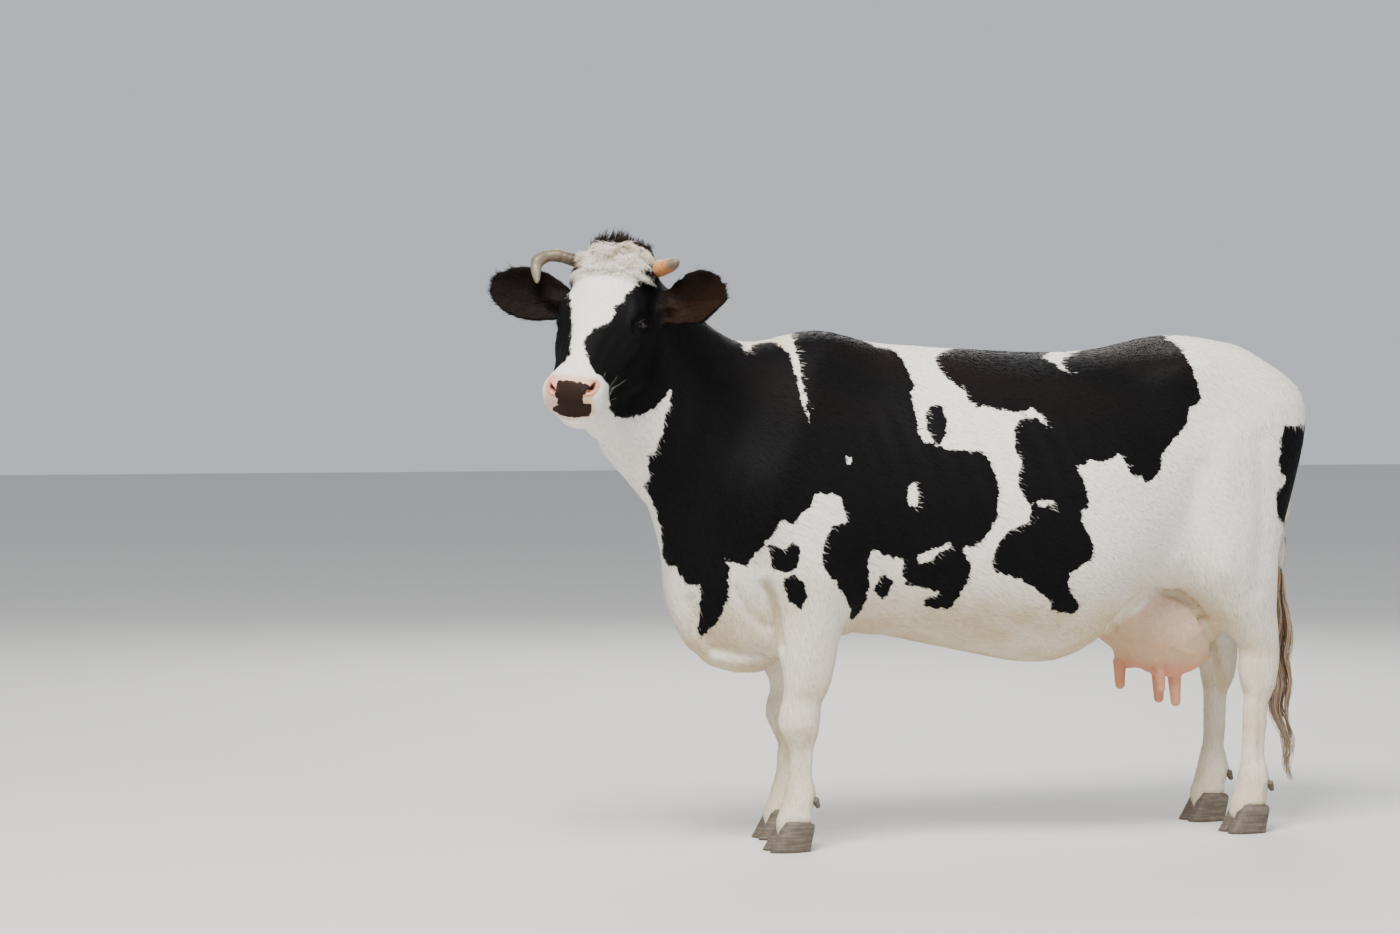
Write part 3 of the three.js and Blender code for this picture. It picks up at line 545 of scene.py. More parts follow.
# ---------- markings
@dataclass(frozen=True)
class Markings:
    """The black patches of the coat.

    The patches of the near side are outlined in the picture's points. Those of the far side are in
    metres along the body and up from the floor, and those of the head in its own millimetres.
    The blaze's edges say how far aside they lie at each distance down the head.
    """

    neck: tuple = (
        (677, 270), (674, 353), (671, 385), (670, 396), (666, 416), (662, 435), (655, 453),
        (647, 455), (650, 473), (644, 487), (653, 505), (661, 528), (662, 554), (669, 567),
        (677, 565), (680, 575), (687, 588), (692, 585), (700, 585), (700, 610), (698, 631),
        (701, 639), (708, 633), (720, 617), (729, 596), (729, 566), (725, 557), (731, 562),
        (747, 566), (759, 550), (772, 536), (775, 530), (782, 520), (793, 526), (802, 513),
        (811, 507), (816, 493), (840, 496), (844, 507), (846, 523), (834, 526), (825, 536),
        (823, 552), (823, 569), (834, 580), (848, 601), (851, 619), (855, 620), (862, 610),
        (870, 587), (868, 569), (870, 555), (873, 550), (880, 552), (896, 559), (903, 559),
        (903, 564), (902, 575), (908, 586), (919, 587), (938, 592), (939, 595), (926, 597),
        (923, 605), (935, 609), (952, 609), (956, 601), (963, 589), (970, 575), (970, 564),
        (961, 548), (977, 546), (988, 534), (997, 520), (999, 490), (995, 474), (988, 458),
        (981, 451), (965, 451), (942, 448), (924, 442), (919, 433), (915, 410), (911, 394),
        (915, 385), (912, 378), (903, 360), (890, 348), (873, 346), (864, 336), (862, 312),
        (792, 312), (790, 331), (797, 352), (803, 385), (811, 425), (803, 405), (797, 378),
        (789, 352), (774, 342), (764, 342), (752, 344), (747, 356), (742, 344), (733, 334),
        (719, 328), (712, 300), (700, 285),
    )  # fmt: skip
    back: tuple = (
        (934, 357), (947, 350), (944, 325), (1040, 325), (1042, 357), (1050, 362), (1070, 373),
        (1060, 364), (1064, 357), (1076, 352), (1074, 325), (1166, 315), (1166, 339),
        (1179, 347), (1189, 361), (1196, 380), (1201, 394), (1198, 406), (1190, 407),
        (1186, 425), (1172, 442), (1161, 455), (1162, 463), (1158, 475), (1146, 484),
        (1142, 478), (1130, 473), (1126, 463), (1115, 446), (1116, 457), (1102, 462),
        (1089, 460), (1083, 465), (1077, 464), (1086, 486), (1089, 507), (1080, 510),
        (1082, 520), (1090, 536), (1095, 550), (1091, 560), (1078, 567), (1069, 574),
        (1068, 588), (1074, 596), (1080, 604), (1074, 616), (1064, 613), (1051, 611),
        (1050, 601), (1029, 585), (1019, 579), (995, 572), (991, 560), (995, 548),
        (1005, 534), (1028, 522), (1033, 510), (1021, 493), (1018, 475), (1021, 463),
        (1014, 446), (1015, 429), (1021, 418), (1038, 418), (1048, 427), (1043, 416),
        (1033, 408), (1017, 413), (1007, 410), (984, 407), (977, 408), (968, 401),
        (965, 392), (949, 380), (935, 362),
    )  # fmt: skip
    thigh: tuple = (
        (1285, 425), (1306, 425), (1311, 404), (1330, 404), (1330, 520), (1296, 520),
        (1288, 532), (1277, 515), (1277, 493), (1286, 479), (1279, 470), (1280, 442),
    )  # fmt: skip
    cheek: tuple = (
        (640, 270), (600, 330), (606, 376), (614, 416), (629, 418), (644, 414), (659, 407),
        (666, 396), (672, 385), (690, 370), (690, 270),
    )  # fmt: skip
    spots: tuple = (
        ((936, 401), (942, 407), (947, 420), (944, 440), (939, 445), (931, 438), (925, 420), (930, 405)),
        ((879, 577), (886, 575), (892, 583), (889, 595), (882, 600), (875, 591)),
        ((768, 545), (778, 546), (783, 549), (793, 543), (800, 549), (798, 566), (789, 574), (772, 569)),
        ((783, 577), (795, 574), (804, 583), (808, 598), (801, 609), (790, 602), (784, 590)),
    )
    gaps: tuple = (
        ((846, 456), (852, 457), (852, 463), (848, 465)),
        ((908, 486), (914, 483), (919, 493), (918, 505), (911, 509), (907, 497)),
        ((1033, 502), (1044, 499), (1054, 500), (1052, 506), (1040, 508)),
        ((917, 556), (933, 549), (950, 543), (952, 547), (940, 553), (930, 560), (920, 563)),
    )
    far_neck: tuple = (
        (-1.00, 1.70), (-0.56, 1.70), (-0.55, 1.37), (-0.50, 1.33), (-0.38, 1.36), (-0.365, 1.6),
        (-0.145, 1.6), (-0.15, 1.36), (-0.10, 1.25), (-0.04, 1.14), (-0.08, 1.02), (0.0, 0.92),
        (-0.05, 0.80), (-0.16, 0.76), (-0.24, 0.84), (-0.30, 0.79), (-0.37, 0.89), (-0.45, 0.86),
        (-0.50, 0.96), (-0.56, 0.90), (-0.60, 0.80), (-0.65, 0.84), (-0.69, 0.97), (-0.76, 1.06),
        (-0.83, 1.13), (-0.93, 1.17), (-1.05, 1.30),
    )  # fmt: skip
    far_back: tuple = (
        (0.09, 1.6), (0.10, 1.37), (0.17, 1.25), (0.14, 1.14), (0.21, 1.05), (0.17, 0.93),
        (0.24, 0.84), (0.32, 0.79), (0.38, 0.88), (0.47, 0.90), (0.52, 1.01), (0.60, 1.03),
        (0.66, 1.12), (0.73, 1.16), (0.78, 1.28), (0.765, 1.37), (0.77, 1.6), (0.50, 1.6),
        (0.49, 1.38), (0.455, 1.34), (0.43, 1.38), (0.42, 1.6),
    )  # fmt: skip
    far_spots: tuple = (
        ((0.95, 0.92), (1.0, 0.90), (1.03, 1.0), (1.01, 1.12), (0.96, 1.14), (0.92, 1.02)),
        ((0.02, 0.76), (0.09, 0.75), (0.11, 0.70), (0.05, 0.67), (0.0, 0.70)),
        ((-0.30, 0.66), (-0.25, 0.68), (-0.23, 0.60), (-0.28, 0.55), (-0.32, 0.60)),
    )
    buttock: tuple = (1.10, -0.13, 1.02)
    buttock_size: tuple = (0.10, 0.085, 0.17)
    blaze_left: tuple = (
        (-30, 92), (20, 98), (50, 94), (80, 86), (110, 82), (129, 82), (155, 72), (180, 66), (205, 52),
        (240, 54), (256, 46), (272, 32), (308, 10), (335, 4), (359, 10), (401, 38), (427, 62), (450, 120),
    )  # fmt: skip
    blaze_right: tuple = (
        (-30, -84), (50, -90), (120, -92), (164, -88), (200, -72), (226, -60), (270, -48),
        (318, -36), (360, -26), (377, -21), (405, -34), (430, -66), (450, -120),
    )  # fmt: skip
    muzzle: tuple = ((-260, 388), (-220, 394), (-158, 402), (-75, 416), (-34, 420), (10, 446))
    jaw: tuple = ((150, -340), (267, -330), (310, -312), (357, -268), (394, -224), (420, -190))
    collar: tuple = (24, 90, -48)
    collar_radius: float = 34.0

    def near(self, points: Array) -> Array:
        """How deep points lie in the near side's black, in metres."""
        flat = VIEW.flat(points)
        depth = inside_any(flat, (self.neck, self.back, self.thigh, self.cheek, *self.spots))
        return np.minimum(depth, -inside_any(flat, self.gaps)) / VIEW.per_metre(points)

    def far(self, points: Array) -> Array:
        """How deep points lie in the far side's black, in metres."""
        x, _, z = points.T
        wavy_x = x + 0.016 * np.sin(z * 33 + 2 * np.sin(x * 21))
        wavy_z = z + 0.014 * np.sin(x * 37 + 1.7)
        wavy = np.stack([wavy_x, wavy_z], axis=1)
        flat = wavy + 0.007 * np.sin(wavy[:, ::-1] * 83)
        depth = inside_any(flat, (self.far_neck, self.far_back, *self.far_spots))
        size = np.array(self.buttock_size)
        reach = np.linalg.norm((points - np.array(self.buttock)) / size, axis=1)
        return np.maximum(depth, (1 - reach) * size[1])

    def head(self, at: Array) -> Array:
        """How deep points of the head lie in its black, in metres."""
        along, aside, out = at.T
        left = aside - np.interp(along, *np.transpose(self.blaze_left))
        right = np.interp(along, *np.transpose(self.blaze_right)) - aside
        depth = np.maximum(left, right) * 0.8
        depth = np.minimum(depth, np.interp(out, *np.transpose(self.muzzle)) - along)
        depth = np.minimum(depth, out - np.interp(along, *np.transpose(self.jaw)))
        collars = from_nearest(at, [sided(self.collar, side) for side in SIDES])
        depth = np.maximum(depth, self.collar_radius - collars)
        return np.maximum(depth, -12 - along) * MM


MARKINGS = Markings()


# ---------- finishes
class Graph:
    """A short way to add and join shader nodes."""

    def __init__(self, tree: bpy.types.NodeTree) -> None:
        """Takes the tree that the nodes go into."""
        self.tree = tree

    def into(self, node: bpy.types.Node, **inputs: object) -> bpy.types.Node:
        """Sets or joins the inputs of a node.

        Args:
            node: The node.
            **inputs: A value or an output for each input, by its name or by i and its number.

        Returns:
            The same node.
        """
        for key, value in inputs.items():
            socket = node.inputs[int(key[1:]) if key[1:].isdigit() else key.replace("_", " ")]
            if isinstance(value, Socket):
                self.tree.links.new(value, socket)
            else:
                socket.default_value = value
        return node

    def add(self, kind: str, settings: dict | None = None, **inputs: object) -> bpy.types.Node:
        """A new node of that kind with its settings, and its inputs set or joined."""
        node = self.tree.nodes.new(f"ShaderNode{kind}")
        for key, value in (settings or {}).items():
            setattr(node, key, value)
        return self.into(node, **inputs)

    def sum(self, operation: str, first: object, second: object, clamp: bool = False) -> Socket:
        """The result of a sum of two values."""
        settings = {"operation": operation, "use_clamp": clamp}
        return self.add("Math", settings, i0=first, i1=second).outputs[0]

    def plus(self, first: object, second: object) -> Socket:
        """Two values added."""
        return self.sum("ADD", first, second)

    def minus(self, first: object, second: object) -> Socket:
        """The second value taken from the first."""
        return self.sum("SUBTRACT", first, second)

    def times(self, first: object, second: object, clamp: bool = False) -> Socket:
        """Two values multiplied, and kept between 0 and 1 if asked."""
        return self.sum("MULTIPLY", first, second, clamp)

    def centred(self, value: object, size: float) -> Socket:
        """A value from 0 to 1, moved to lie evenly round 0 and scaled to that size."""
        return self.times(self.minus(value, 0.5), size)

    def ramp(self, value: object, low: float, high: float, start: float = 0.0, end: float = 1.0) -> Socket:
        """A smooth ramp of a value between two limits."""
        limits = {"From_Min": low, "From_Max": high, "To_Min": start, "To_Max": end}
        node = self.add("MapRange", {"interpolation_type": "SMOOTHSTEP"}, Value=value, **limits)
        return node.outputs["Result"]

    def blend(self, share: object, first: object, second: object, kind: str = "MIX") -> Socket:
        """Two colours mixed by a share."""
        settings = {"data_type": "RGBA", "blend_type": kind}
        return self.add("Mix", settings, i0=share, i6=first, i7=second).outputs[2]

    def value(self, name: str) -> Socket:
        """The number that the mesh stores under that name."""
        return self.add("Attribute", {"attribute_name": name}).outputs["Fac"]

    def where(self) -> Socket:
        """The place in the piece's own coordinates."""
        return self.add("TexCoord").outputs["Object"]

    def noise(self, scale: float, detail: float = 2.0, where: Socket | None = None) -> Socket:
        """Cloudy noise over the piece."""
        place = self.where() if where is None else where
        return self.add("TexNoise", Vector=place, Scale=scale, Detail=detail).outputs["Fac"]

    def group(self, tree: bpy.types.NodeTree, **inputs: object) -> bpy.types.Node:
        """A node group with its inputs joined."""
        return self.add("Group", {"node_tree": tree}, **inputs)

    def bump(self, height: Socket, strength: float, distance: float) -> Socket:
        """The normal of a relief of that height."""
        return self.add("Bump", Strength=strength, Distance=distance, Height=height).outputs[0]


def fresh_material(name: str) -> tuple[Material, Graph, bpy.types.Node]:
    """A new material, its graph, and its principled shader, joined to the output."""
    material = bpy.data.materials.new(name)
    material.use_nodes = True
    return material, Graph(material.node_tree), material.node_tree.nodes["Principled BSDF"]


def fresh_group(
    name: str, inputs: Sequence[str], outputs: Sequence[str]
) -> tuple[Graph, bpy.types.Node, bpy.types.Node]:
    """A new node group with number inputs and outputs.

    Args:
        name: The group's name.
        inputs: The name of each input.
        outputs: The name of each output.

    Returns:
        The group's graph, and its input and output nodes.
    """
    tree = bpy.data.node_groups.new(name, "ShaderNodeTree")
    for labels, way in ((inputs, "INPUT"), (outputs, "OUTPUT")):
        for label in labels:
            tree.interface.new_socket(label, in_out=way, socket_type="NodeSocketFloat")
    return Graph(tree), tree.nodes.new("NodeGroupInput"), tree.nodes.new("NodeGroupOutput")


@dataclass(frozen=True)
class HairGrain:
    """The fine relief of flat hair, which lies backwards on the body and down on the legs.

    Attributes:
        across: How many hairs stand side by side in a metre.
        along: How many follow each other in a metre.
        slope: How far the body's hair slopes down towards the rear, in degrees.
        clumps: How many clumps of hair there are in a metre.
    """

    across: float = 330.0
    along: float = 38.0
    slope: float = 28.0
    clumps: float = 26.0

    def make(self) -> bpy.types.NodeTree:
        """The node group: Down in, Height and Streak out."""
        graph, start, end = fresh_group("hair_grain", ["Down"], ["Height", "Streak"])
        where = graph.where()
        layers = []
        for turn, scale in (
            (math.radians(self.slope), (self.along, self.across, self.across)),
            (0.0, (self.across, self.across, self.along)),
        ):
            spun = graph.add("Mapping", Vector=where, Rotation=(0, -turn, 0)).outputs[0]
            laid = graph.add("Mapping", Vector=spun, Scale=scale).outputs[0]
            layers.append(graph.noise(1.0, 3.0, laid))
        ways = {"i0": start.outputs["Down"], "i2": layers[0], "i3": layers[1]}
        streak = graph.add("Mix", {"data_type": "FLOAT"}, **ways).outputs[0]
        height = graph.plus(streak, graph.times(graph.noise(self.clumps, 3.0), 0.35))
        graph.into(end, Height=height, Streak=streak)
        return graph.tree


@dataclass(frozen=True)
class PiedEdge:
    """The ragged edge between black hair and white hair.

    Attributes:
        wander: How far the edge wanders, in metres.
        fringe: How far single locks reach over it, in metres.
        soft: Half of the width over which the colours mix, in metres.
    """

    wander: float = 0.010
    fringe: float = 0.009
    soft: float = 0.0016

    def make(self, grain: bpy.types.NodeTree) -> bpy.types.NodeTree:
        """The node group: Mark and Down in, Dark out."""
        graph, start, end = fresh_group("pied_edge", ["Mark", "Down"], ["Dark"])
        streak = graph.group(grain, Down=start.outputs["Down"]).outputs["Streak"]
        shift = graph.centred(graph.noise(38.0), self.wander * 2)
        lock = graph.centred(streak, self.fringe * 2)
        depth = graph.plus(start.outputs["Mark"], graph.plus(shift, lock))
        graph.into(end, Dark=graph.ramp(depth, -self.soft, self.soft))
        return graph.tree


@dataclass(frozen=True)
class CoatFinish:
    """Hair and hide, black and white, with bare pink and brown skin where the hair ends.

    Attributes:
        white: Clean white hair.
        soiled_and_shaded: White hair where it is stained, and the colour of the painted shade in the grooves,
            under the body and between the crown's curls.
        black: Black hair.
        brown: Black hair where it is faded or thin.
        pink: Bare skin of the muzzle.
        flushed: The same skin where it is warmer.
        pad: The dark pad of the nose.
        hollow: The inside of a nostril.
        tan: The long hair of the tail.
        udder: The beige skin of the udder.
    """

    white: tuple = (0.80, 0.765, 0.70, 1)
    soiled_and_shaded: tuple = (0.56, 0.46, 0.30, 1)
    black: tuple = (0.0042, 0.0040, 0.0044, 1)
    brown: tuple = (0.034, 0.017, 0.010, 1)
    pink: tuple = (0.70, 0.46, 0.34, 1)
    flushed: tuple = (0.60, 0.25, 0.155, 1)
    pad: tuple = (0.024, 0.0135, 0.011, 1)
    hollow: tuple = (0.05, 0.018, 0.014, 1)
    tan: tuple = (0.37, 0.215, 0.10, 1)
    udder: tuple = (0.46, 0.285, 0.165, 1)

    def fur(self, graph: Graph, dark: Socket, streak: Socket) -> Socket:
        """The colour of the hair."""
        clouds = graph.ramp(graph.noise(7.0, 4.0), 0.25, 0.75, 0.55, 1.2)
        # This share holds real stains and also painted shade in the grooves, under the body and between the
        # crown's curls.
        stain_and_shade = graph.times(graph.value("soil_and_shade"), clouds, True)
        pale = graph.blend(stain_and_shade, self.white, self.soiled_and_shaded)
        pale = graph.blend(graph.value("tan"), pale, self.tan)
        deep = graph.blend(graph.value("brown"), self.black, self.brown)
        lock = graph.plus(graph.times(graph.value("tint"), 0.16), 1.0)
        shade = graph.times(graph.ramp(streak, 0.25, 0.75, 0.84, 1.08), lock)
        tone = graph.add("CombineColor", Red=shade, Green=shade, Blue=shade).outputs[0]
        return graph.blend(1.0, graph.blend(dark, pale, deep), tone, "MULTIPLY")

    def flesh(self, graph: Graph, down: Socket) -> Socket:
        """The colour of the bare skin."""
        colour = graph.blend(graph.ramp(graph.noise(30.0, 3.0), 0.35, 0.8), self.pink, self.flushed)
        colour = graph.blend(graph.times(down, 0.75), colour, self.udder)
        return graph.blend(graph.value("flush"), colour, self.flushed)

    def make(self) -> Material:
        """The material of the skin and of every lock of hair."""
        material, graph, shader = fresh_material("coat")
        grain = HairGrain().make()
        down = graph.value("down")
        hair = graph.group(grain, Down=down)
        dark = graph.group(PiedEdge().make(grain), Mark=graph.value("mark"), Down=down).outputs["Dark"]
        cover = graph.times(graph.value("bare"), graph.ramp(graph.noise(160.0), 0.2, 0.7, 0.8, 1.1), True)
        speckled = graph.plus(graph.value("nose"), graph.centred(graph.noise(150.0, 3.0), 1.3))
        pad = graph.ramp(speckled, 0.44, 0.56)
        colour = graph.blend(cover, self.fur(graph, dark, hair.outputs["Streak"]), self.flesh(graph, down))
        colour = graph.blend(pad, colour, self.pad)
        colour = graph.blend(graph.value("nostril"), colour, self.hollow)
        smooth_skin = graph.sum("MAXIMUM", cover, pad)
        rough = graph.minus(graph.ramp(dark, 0.0, 1.0, 0.72, 0.58), graph.times(smooth_skin, 0.16))
        pores = graph.add("TexVoronoi", Vector=graph.where(), Scale=420.0).outputs["Distance"]
        hairy = graph.times(hair.outputs["Height"], graph.minus(1.0, graph.times(smooth_skin, 0.85)))
        height = graph.plus(hairy, graph.times(pores, graph.times(smooth_skin, 0.5)))
        relief = graph.bump(height, 0.42, 0.0016)
        graph.into(shader, Base_Color=colour, Roughness=rough, Normal=relief, Specular_IOR_Level=0.05)
        return material


@dataclass(frozen=True)
class HornFinish:
    """Horn that is hairy and dark at its root, then olive or orange, and grey at its tip."""

    root: tuple = (0.045, 0.030, 0.020, 1)
    body: tuple = (0.105, 0.085, 0.052, 1)
    warm: tuple = (0.58, 0.25, 0.09, 1)
    tip: tuple = (0.17, 0.135, 0.10, 1)

    def make(self) -> Material:
        """The material, which reads how far up the horn a point is, and how warm the horn is."""
        material, graph, shader = fresh_material("horn")
        rise = graph.value("rise")
        cloud = graph.noise(60.0, 4.0)
        waver = graph.plus(rise, graph.centred(cloud, 0.10))
        middle = graph.blend(graph.value("warmth"), self.body, self.warm)
        middle = graph.blend(graph.ramp(cloud, 0.3, 0.8, 0.0, 0.4), middle, self.root)
        colour = graph.blend(graph.ramp(waver, 0.24, 0.40), self.root, middle)
        colour = graph.blend(graph.ramp(waver, 0.66, 0.92), colour, self.tip)
        rings = graph.times(graph.sum("SINE", graph.times(rise, HORN_RINGS), 0.0), graph.ramp(rise, 0.6, 0.2))
        height = graph.plus(rings, graph.times(graph.noise(240.0, 3.0), 1.2))
        rough = graph.ramp(cloud, 0.3, 0.7, 0.38, 0.58)
        graph.into(shader, Base_Color=colour, Roughness=rough, Normal=graph.bump(height, 0.4, 0.0012))
        return material


@dataclass(frozen=True)
class HoofFinish:
    """Grey-brown hoof horn with growth rings and soiling."""

    dark: tuple = (0.075, 0.058, 0.042, 1)
    light: tuple = (0.15, 0.12, 0.088, 1)

    def make(self) -> Material:
        """The material."""
        material, graph, shader = fresh_material("hoof")
        lean, rings_scale = (0, -0.30, 0), (14, 14, 190)
        wall = graph.add("Mapping", Vector=graph.where(), Rotation=lean, Scale=rings_scale).outputs[0]
        rings = graph.noise(1.0, 3.0, wall)
        streak = graph.noise(70.0, 4.0)
        colour = graph.blend(graph.ramp(rings, 0.35, 0.7), self.dark, self.light)
        colour = graph.blend(graph.ramp(streak, 0.35, 0.75, 0.0, 0.55), colour, self.dark)
        relief = graph.bump(graph.plus(rings, graph.times(streak, 0.4)), 0.55, 0.0016)
        rough = graph.ramp(streak, 0.3, 0.7, 0.42, 0.68)
        graph.into(shader, Base_Color=colour, Roughness=rough, Normal=relief)
        return material


@dataclass(frozen=True)
class EyeFinish:
    """A dark brown eye with a wide, level pupil."""

    iris: tuple = (0.010, 0.005, 0.003, 1)
    rim: tuple = (0.010, 0.006, 0.004, 1)
    pupil: tuple = (0.0015, 0.0015, 0.003, 1)
    white: tuple = (0.016, 0.010, 0.008, 1)

    def make(self) -> Material:
        """The material, which reads the rings that the eyeball stores."""
        material, graph, shader = fresh_material("eye")
        ring = graph.value("ring")
        iris = graph.blend(graph.noise(900.0), self.rim, self.iris)
        colour = graph.blend(graph.ramp(graph.value("pupil"), 0.9, 1.05), self.pupil, iris)
        colour = graph.blend(graph.ramp(ring, 0.80, 0.98), colour, self.rim)
        colour = graph.blend(graph.ramp(ring, 1.02, 1.25), colour, self.white)
        graph.into(shader, Base_Color=colour, Roughness=0.10, Specular_IOR_Level=0.35)
        graph.into(shader, Coat_Weight=0.25, Coat_Roughness=0.04)
        return material


@dataclass(frozen=True)
class LidFinish:
    """Bare black skin of the eyelids' edges."""

    colour: tuple = (0.006, 0.005, 0.005, 1)
    worn: tuple = (0.014, 0.011, 0.010, 1)

    def make(self) -> Material:
        """The material."""
        material, graph, shader = fresh_material("lid")
        spots = graph.noise(700.0)
        colour = graph.blend(spots, self.colour, self.worn)
        graph.into(shader, Base_Color=colour, Normal=graph.bump(spots, 0.3, 0.0006))
        graph.into(shader, Roughness=0.5, Specular_IOR_Level=0.2)
        return material


# ---------- the skin
@dataclass
class Eyeball:
    """Where the eyes sit, in the head's own millimetres.

    Attributes:
        along, aside, out: The eyeball's centre.
        radius: The eyeball's radius.
        gaze: The way the left eye looks.
        corner: The way from the rear corner of the lids to the front one.
        above: The way to the upper lid.
        half: Half of the opening's length.
        upper: How high the upper lid arches over the middle.
        lower: How far the lower lid drops under it.
        arch: How square the lids' arches are.
    """

    along: float = 202.0
    aside: float = 102.0
    out: float = -76.0
    radius: float = 21.0
    gaze: tuple = (0.10, 0.93, 0.36)
    corner: tuple = (0.82, 0.0, 0.57)
    half: float = 22.5
    upper: float = 11.0
    lower: float = 8.5
    arch: float = 2.2

    def axes(self, side: int) -> tuple[Array, Array, Array]:
        """The directions to the front corner, to the upper lid, and out of the eye."""
        gaze = sided(unit(np.array(self.gaze)), side)
        corner = sided(self.corner, side)
        corner = unit(corner - gaze * (corner @ gaze))
        above = np.cross(gaze, corner) * -side
        return corner, above, gaze

    def centre(self, side: int) -> Array:
        """The eyeball's centre in the head's frame."""
        return np.array([self.along, side * self.aside, self.out])

    def local(self, at: Array, side: int) -> tuple[Array, Array, Array]:
        """Points of the head measured from the eye: to the front, up, and out."""
        way = at - self.centre(side)
        corner, above, gaze = self.axes(side)
        return way @ corner, way @ above, way @ gaze

    def lid(self, front: Array, above: Array) -> Array:
        """How far outside the opening a point lies, in millimetres."""
        arch = 1 - (np.abs(front) / self.half) ** self.arch
        outside = np.maximum(above - self.upper * arch, -self.lower * arch - above)
        beside = np.abs(front) - self.half
        return np.where(beside > 0, np.hypot(np.maximum(beside, 0), above * 0.9), outside)


EYE = Eyeball()
# What the skin stores at each vertex and every tuft takes over at its root.
ROOT_VALUES = ("mark", "bare", "nose", "nostril", "flush", "soil_and_shade", "brown", "down")


def crown_waves(at: Array) -> Array:
    """The waves of the skin and the hair between the horns, which the painted shade of the curls also
    follows, from -1 to 1.
    """
    along, aside, _ = at.T
    return np.sin(along / 9 + 2 * np.sin(aside / 17)) * np.sin(aside / 21 + along / 30 + 0.8)


@dataclass
class Hide:
    """The skin: one surface in place of every piece of flesh.

    Attributes:
        cell: The size of its faces before the finer places are split.
        depth: How far it lies under the solids on the body.
        leg_depth: The same on the legs.
        face_depth: The same on the head.
        ear_depth: The same on the ears.
        hoof_depth: The same inside the hooves' tops.
        swollen: How far the thin solids are thickened before the wrap.
        teat_top: How high the thickened part of the udder reaches.
        teats: Where the teats start.
        teat_length: How far a teat hangs down.
        teat_radii: The radius of a teat at its root and at its tip.
        horn_plug: A place in the left horn's root, in the head's own millimetres.
        plug_radii: The radii of the balls that close the left and right horn's roots.
        knee: A stained spot of the near foreleg, in picture points.
    """

    cell: float = 0.0118
    depth: float = 0.0055
    leg_depth: float = 0.0012
    face_depth: float = 0.0022
    ear_depth: float = 0.0008
    hoof_depth: float = 0.006
    swollen: float = 0.005
    teat_top: float = 0.49
    teats: tuple = (
        (0.704, -0.066, 0.485), (0.662, 0.108, 0.485), (0.764, -0.034, 0.446), (0.767, 0.076, 0.446),
    )  # fmt: skip
    teat_length: float = 0.084
    teat_radii: tuple = (0.0205, 0.0140)
    horn_plug: tuple = (22, 80, -54)
    plug_radii: tuple = (21, 18)
    knee: tuple = (797.0, 748.0)
    mesh: Mesh = field(default=None, repr=False)

    def build(self) -> None:
        """Wraps the solids, fairs the wrap, models it and measures what the coat needs."""
        others = [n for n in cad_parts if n.startswith(("eye_", "hoof_"))]
        plugs = []
        for side, radius in zip(SIDES, self.plug_radii):
            plugs.append((HEAD.outward(sided(self.horn_plug, side)), radius * MM))
        for root, tip in self.teat_lines():
            plugs += [(root + (tip - root) * t, 0.0175) for t in (0.3, 0.55, 0.8, 1.0)]
        thicker = {ear.value: (self.swollen, math.inf) for ear in EARS}
        thicker[Part.UDDER.value] = (self.swollen, self.teat_top)
        self.mesh = remeshed(merged_copy("skin_wrap", FLESH + others, plugs, thicker), self.cell)
        only_outside(self.mesh)
        self.find_parts()
        self.fair()
        self.refine()
        self.model()
        self.measure()

    # ---------- which part is where
    def find_parts(self) -> None:
        """Finds the nearest solid of every vertex."""
        points, triangles, owner = [], [], []
        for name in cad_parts:
            title = name.split("_")[0] if name.startswith(("hoof_", "eye_")) else name
            if title not in TITLES:
                continue
            own, faces = node_surface(name)
            triangles += (faces + len(points)).tolist()
            points += own.tolist()
            owner += [TITLES.index(title)] * len(faces)
        self.tree = BVHTree.FromPolygons(points, triangles)
        self.owner = np.array(owner)
        self.read()
        hits = [self.tree.find_nearest(p)[2] for p in self.points.tolist()]
        self.part = self.owner[np.array(hits)]

    def read(self) -> None:
        """Reads the points, the normals and the edges again."""
        self.points = points_of(self.mesh)
        self.normals = normals_of(self.mesh)
        self.web = Web(self.mesh)
        self.at = HEAD.inward(self.points)

    def of(self, *parts: Part) -> Array:
        """1 for each vertex that belongs to one of these parts."""
        return np.isin(self.part, [TITLES.index(part.value) for part in parts]).astype(float)

    def settle(self, points: Array) -> None:
        """Moves the vertices to these places and reads the skin again."""
        place_points(self.mesh, points)
        self.read()

    # ---------- fairing
    def fair(self) -> None:
        """Rounds off the facets: most on the body, least where the forms are small."""
        z = self.points[:, 2]
        amount = self.of(Part.TRUNK, Part.NECK, *LEGS) * smooth_step(0.42, 0.80, z)
        amount = self.web.spread(amount, 12)
        near_head = self.web.spread(self.of(Part.HEAD, *EARS, Part.UDDER), 8)
        amount = np.clip(amount * (1 - near_head), 0, 1)
        self.points = self.web.spread(self.points, 46, 0.9 * amount)
        small = 1 - self.of(*EARS) - self.of(Part.UDDER) * (z < 0.50)
        self.points = self.web.spread(self.points, 5, 0.55 * small)
        place_points(self.mesh, self.points)

    def refine(self) -> None:
        """Splits the faces of the head, the ears and the teats, and again at the eyes and nose."""
        fine = self.of(Part.HEAD, *EARS) + self.of(Part.UDDER) * (self.points[:, 2] < 0.52)
        near = self.normals @ VIEW.axes()[0] < 0
        fine = (self.web.spread(fine, 2) > 0.2) | ((self.from_grooves() < 9) & near)
        split_faces(self.mesh, fine)
        self.find_parts()
        rounded = self.of(Part.HEAD, Part.UDDER, Part.HOOF)
        self.points = self.web.spread(self.points, 3, 0.5 * rounded)
        self.hug_ears()
        self.shape_teats()
        self.settle(self.points)
        eyes = from_nearest(self.at, [EYE.centre(side) for side in SIDES]) < 2 * EYE.radius
        nostrils = from_nearest(self.at, [Muzzle.nostril(side) for side in SIDES]) < 30
        split_faces(self.mesh, eyes | nostrils)
        self.find_parts()

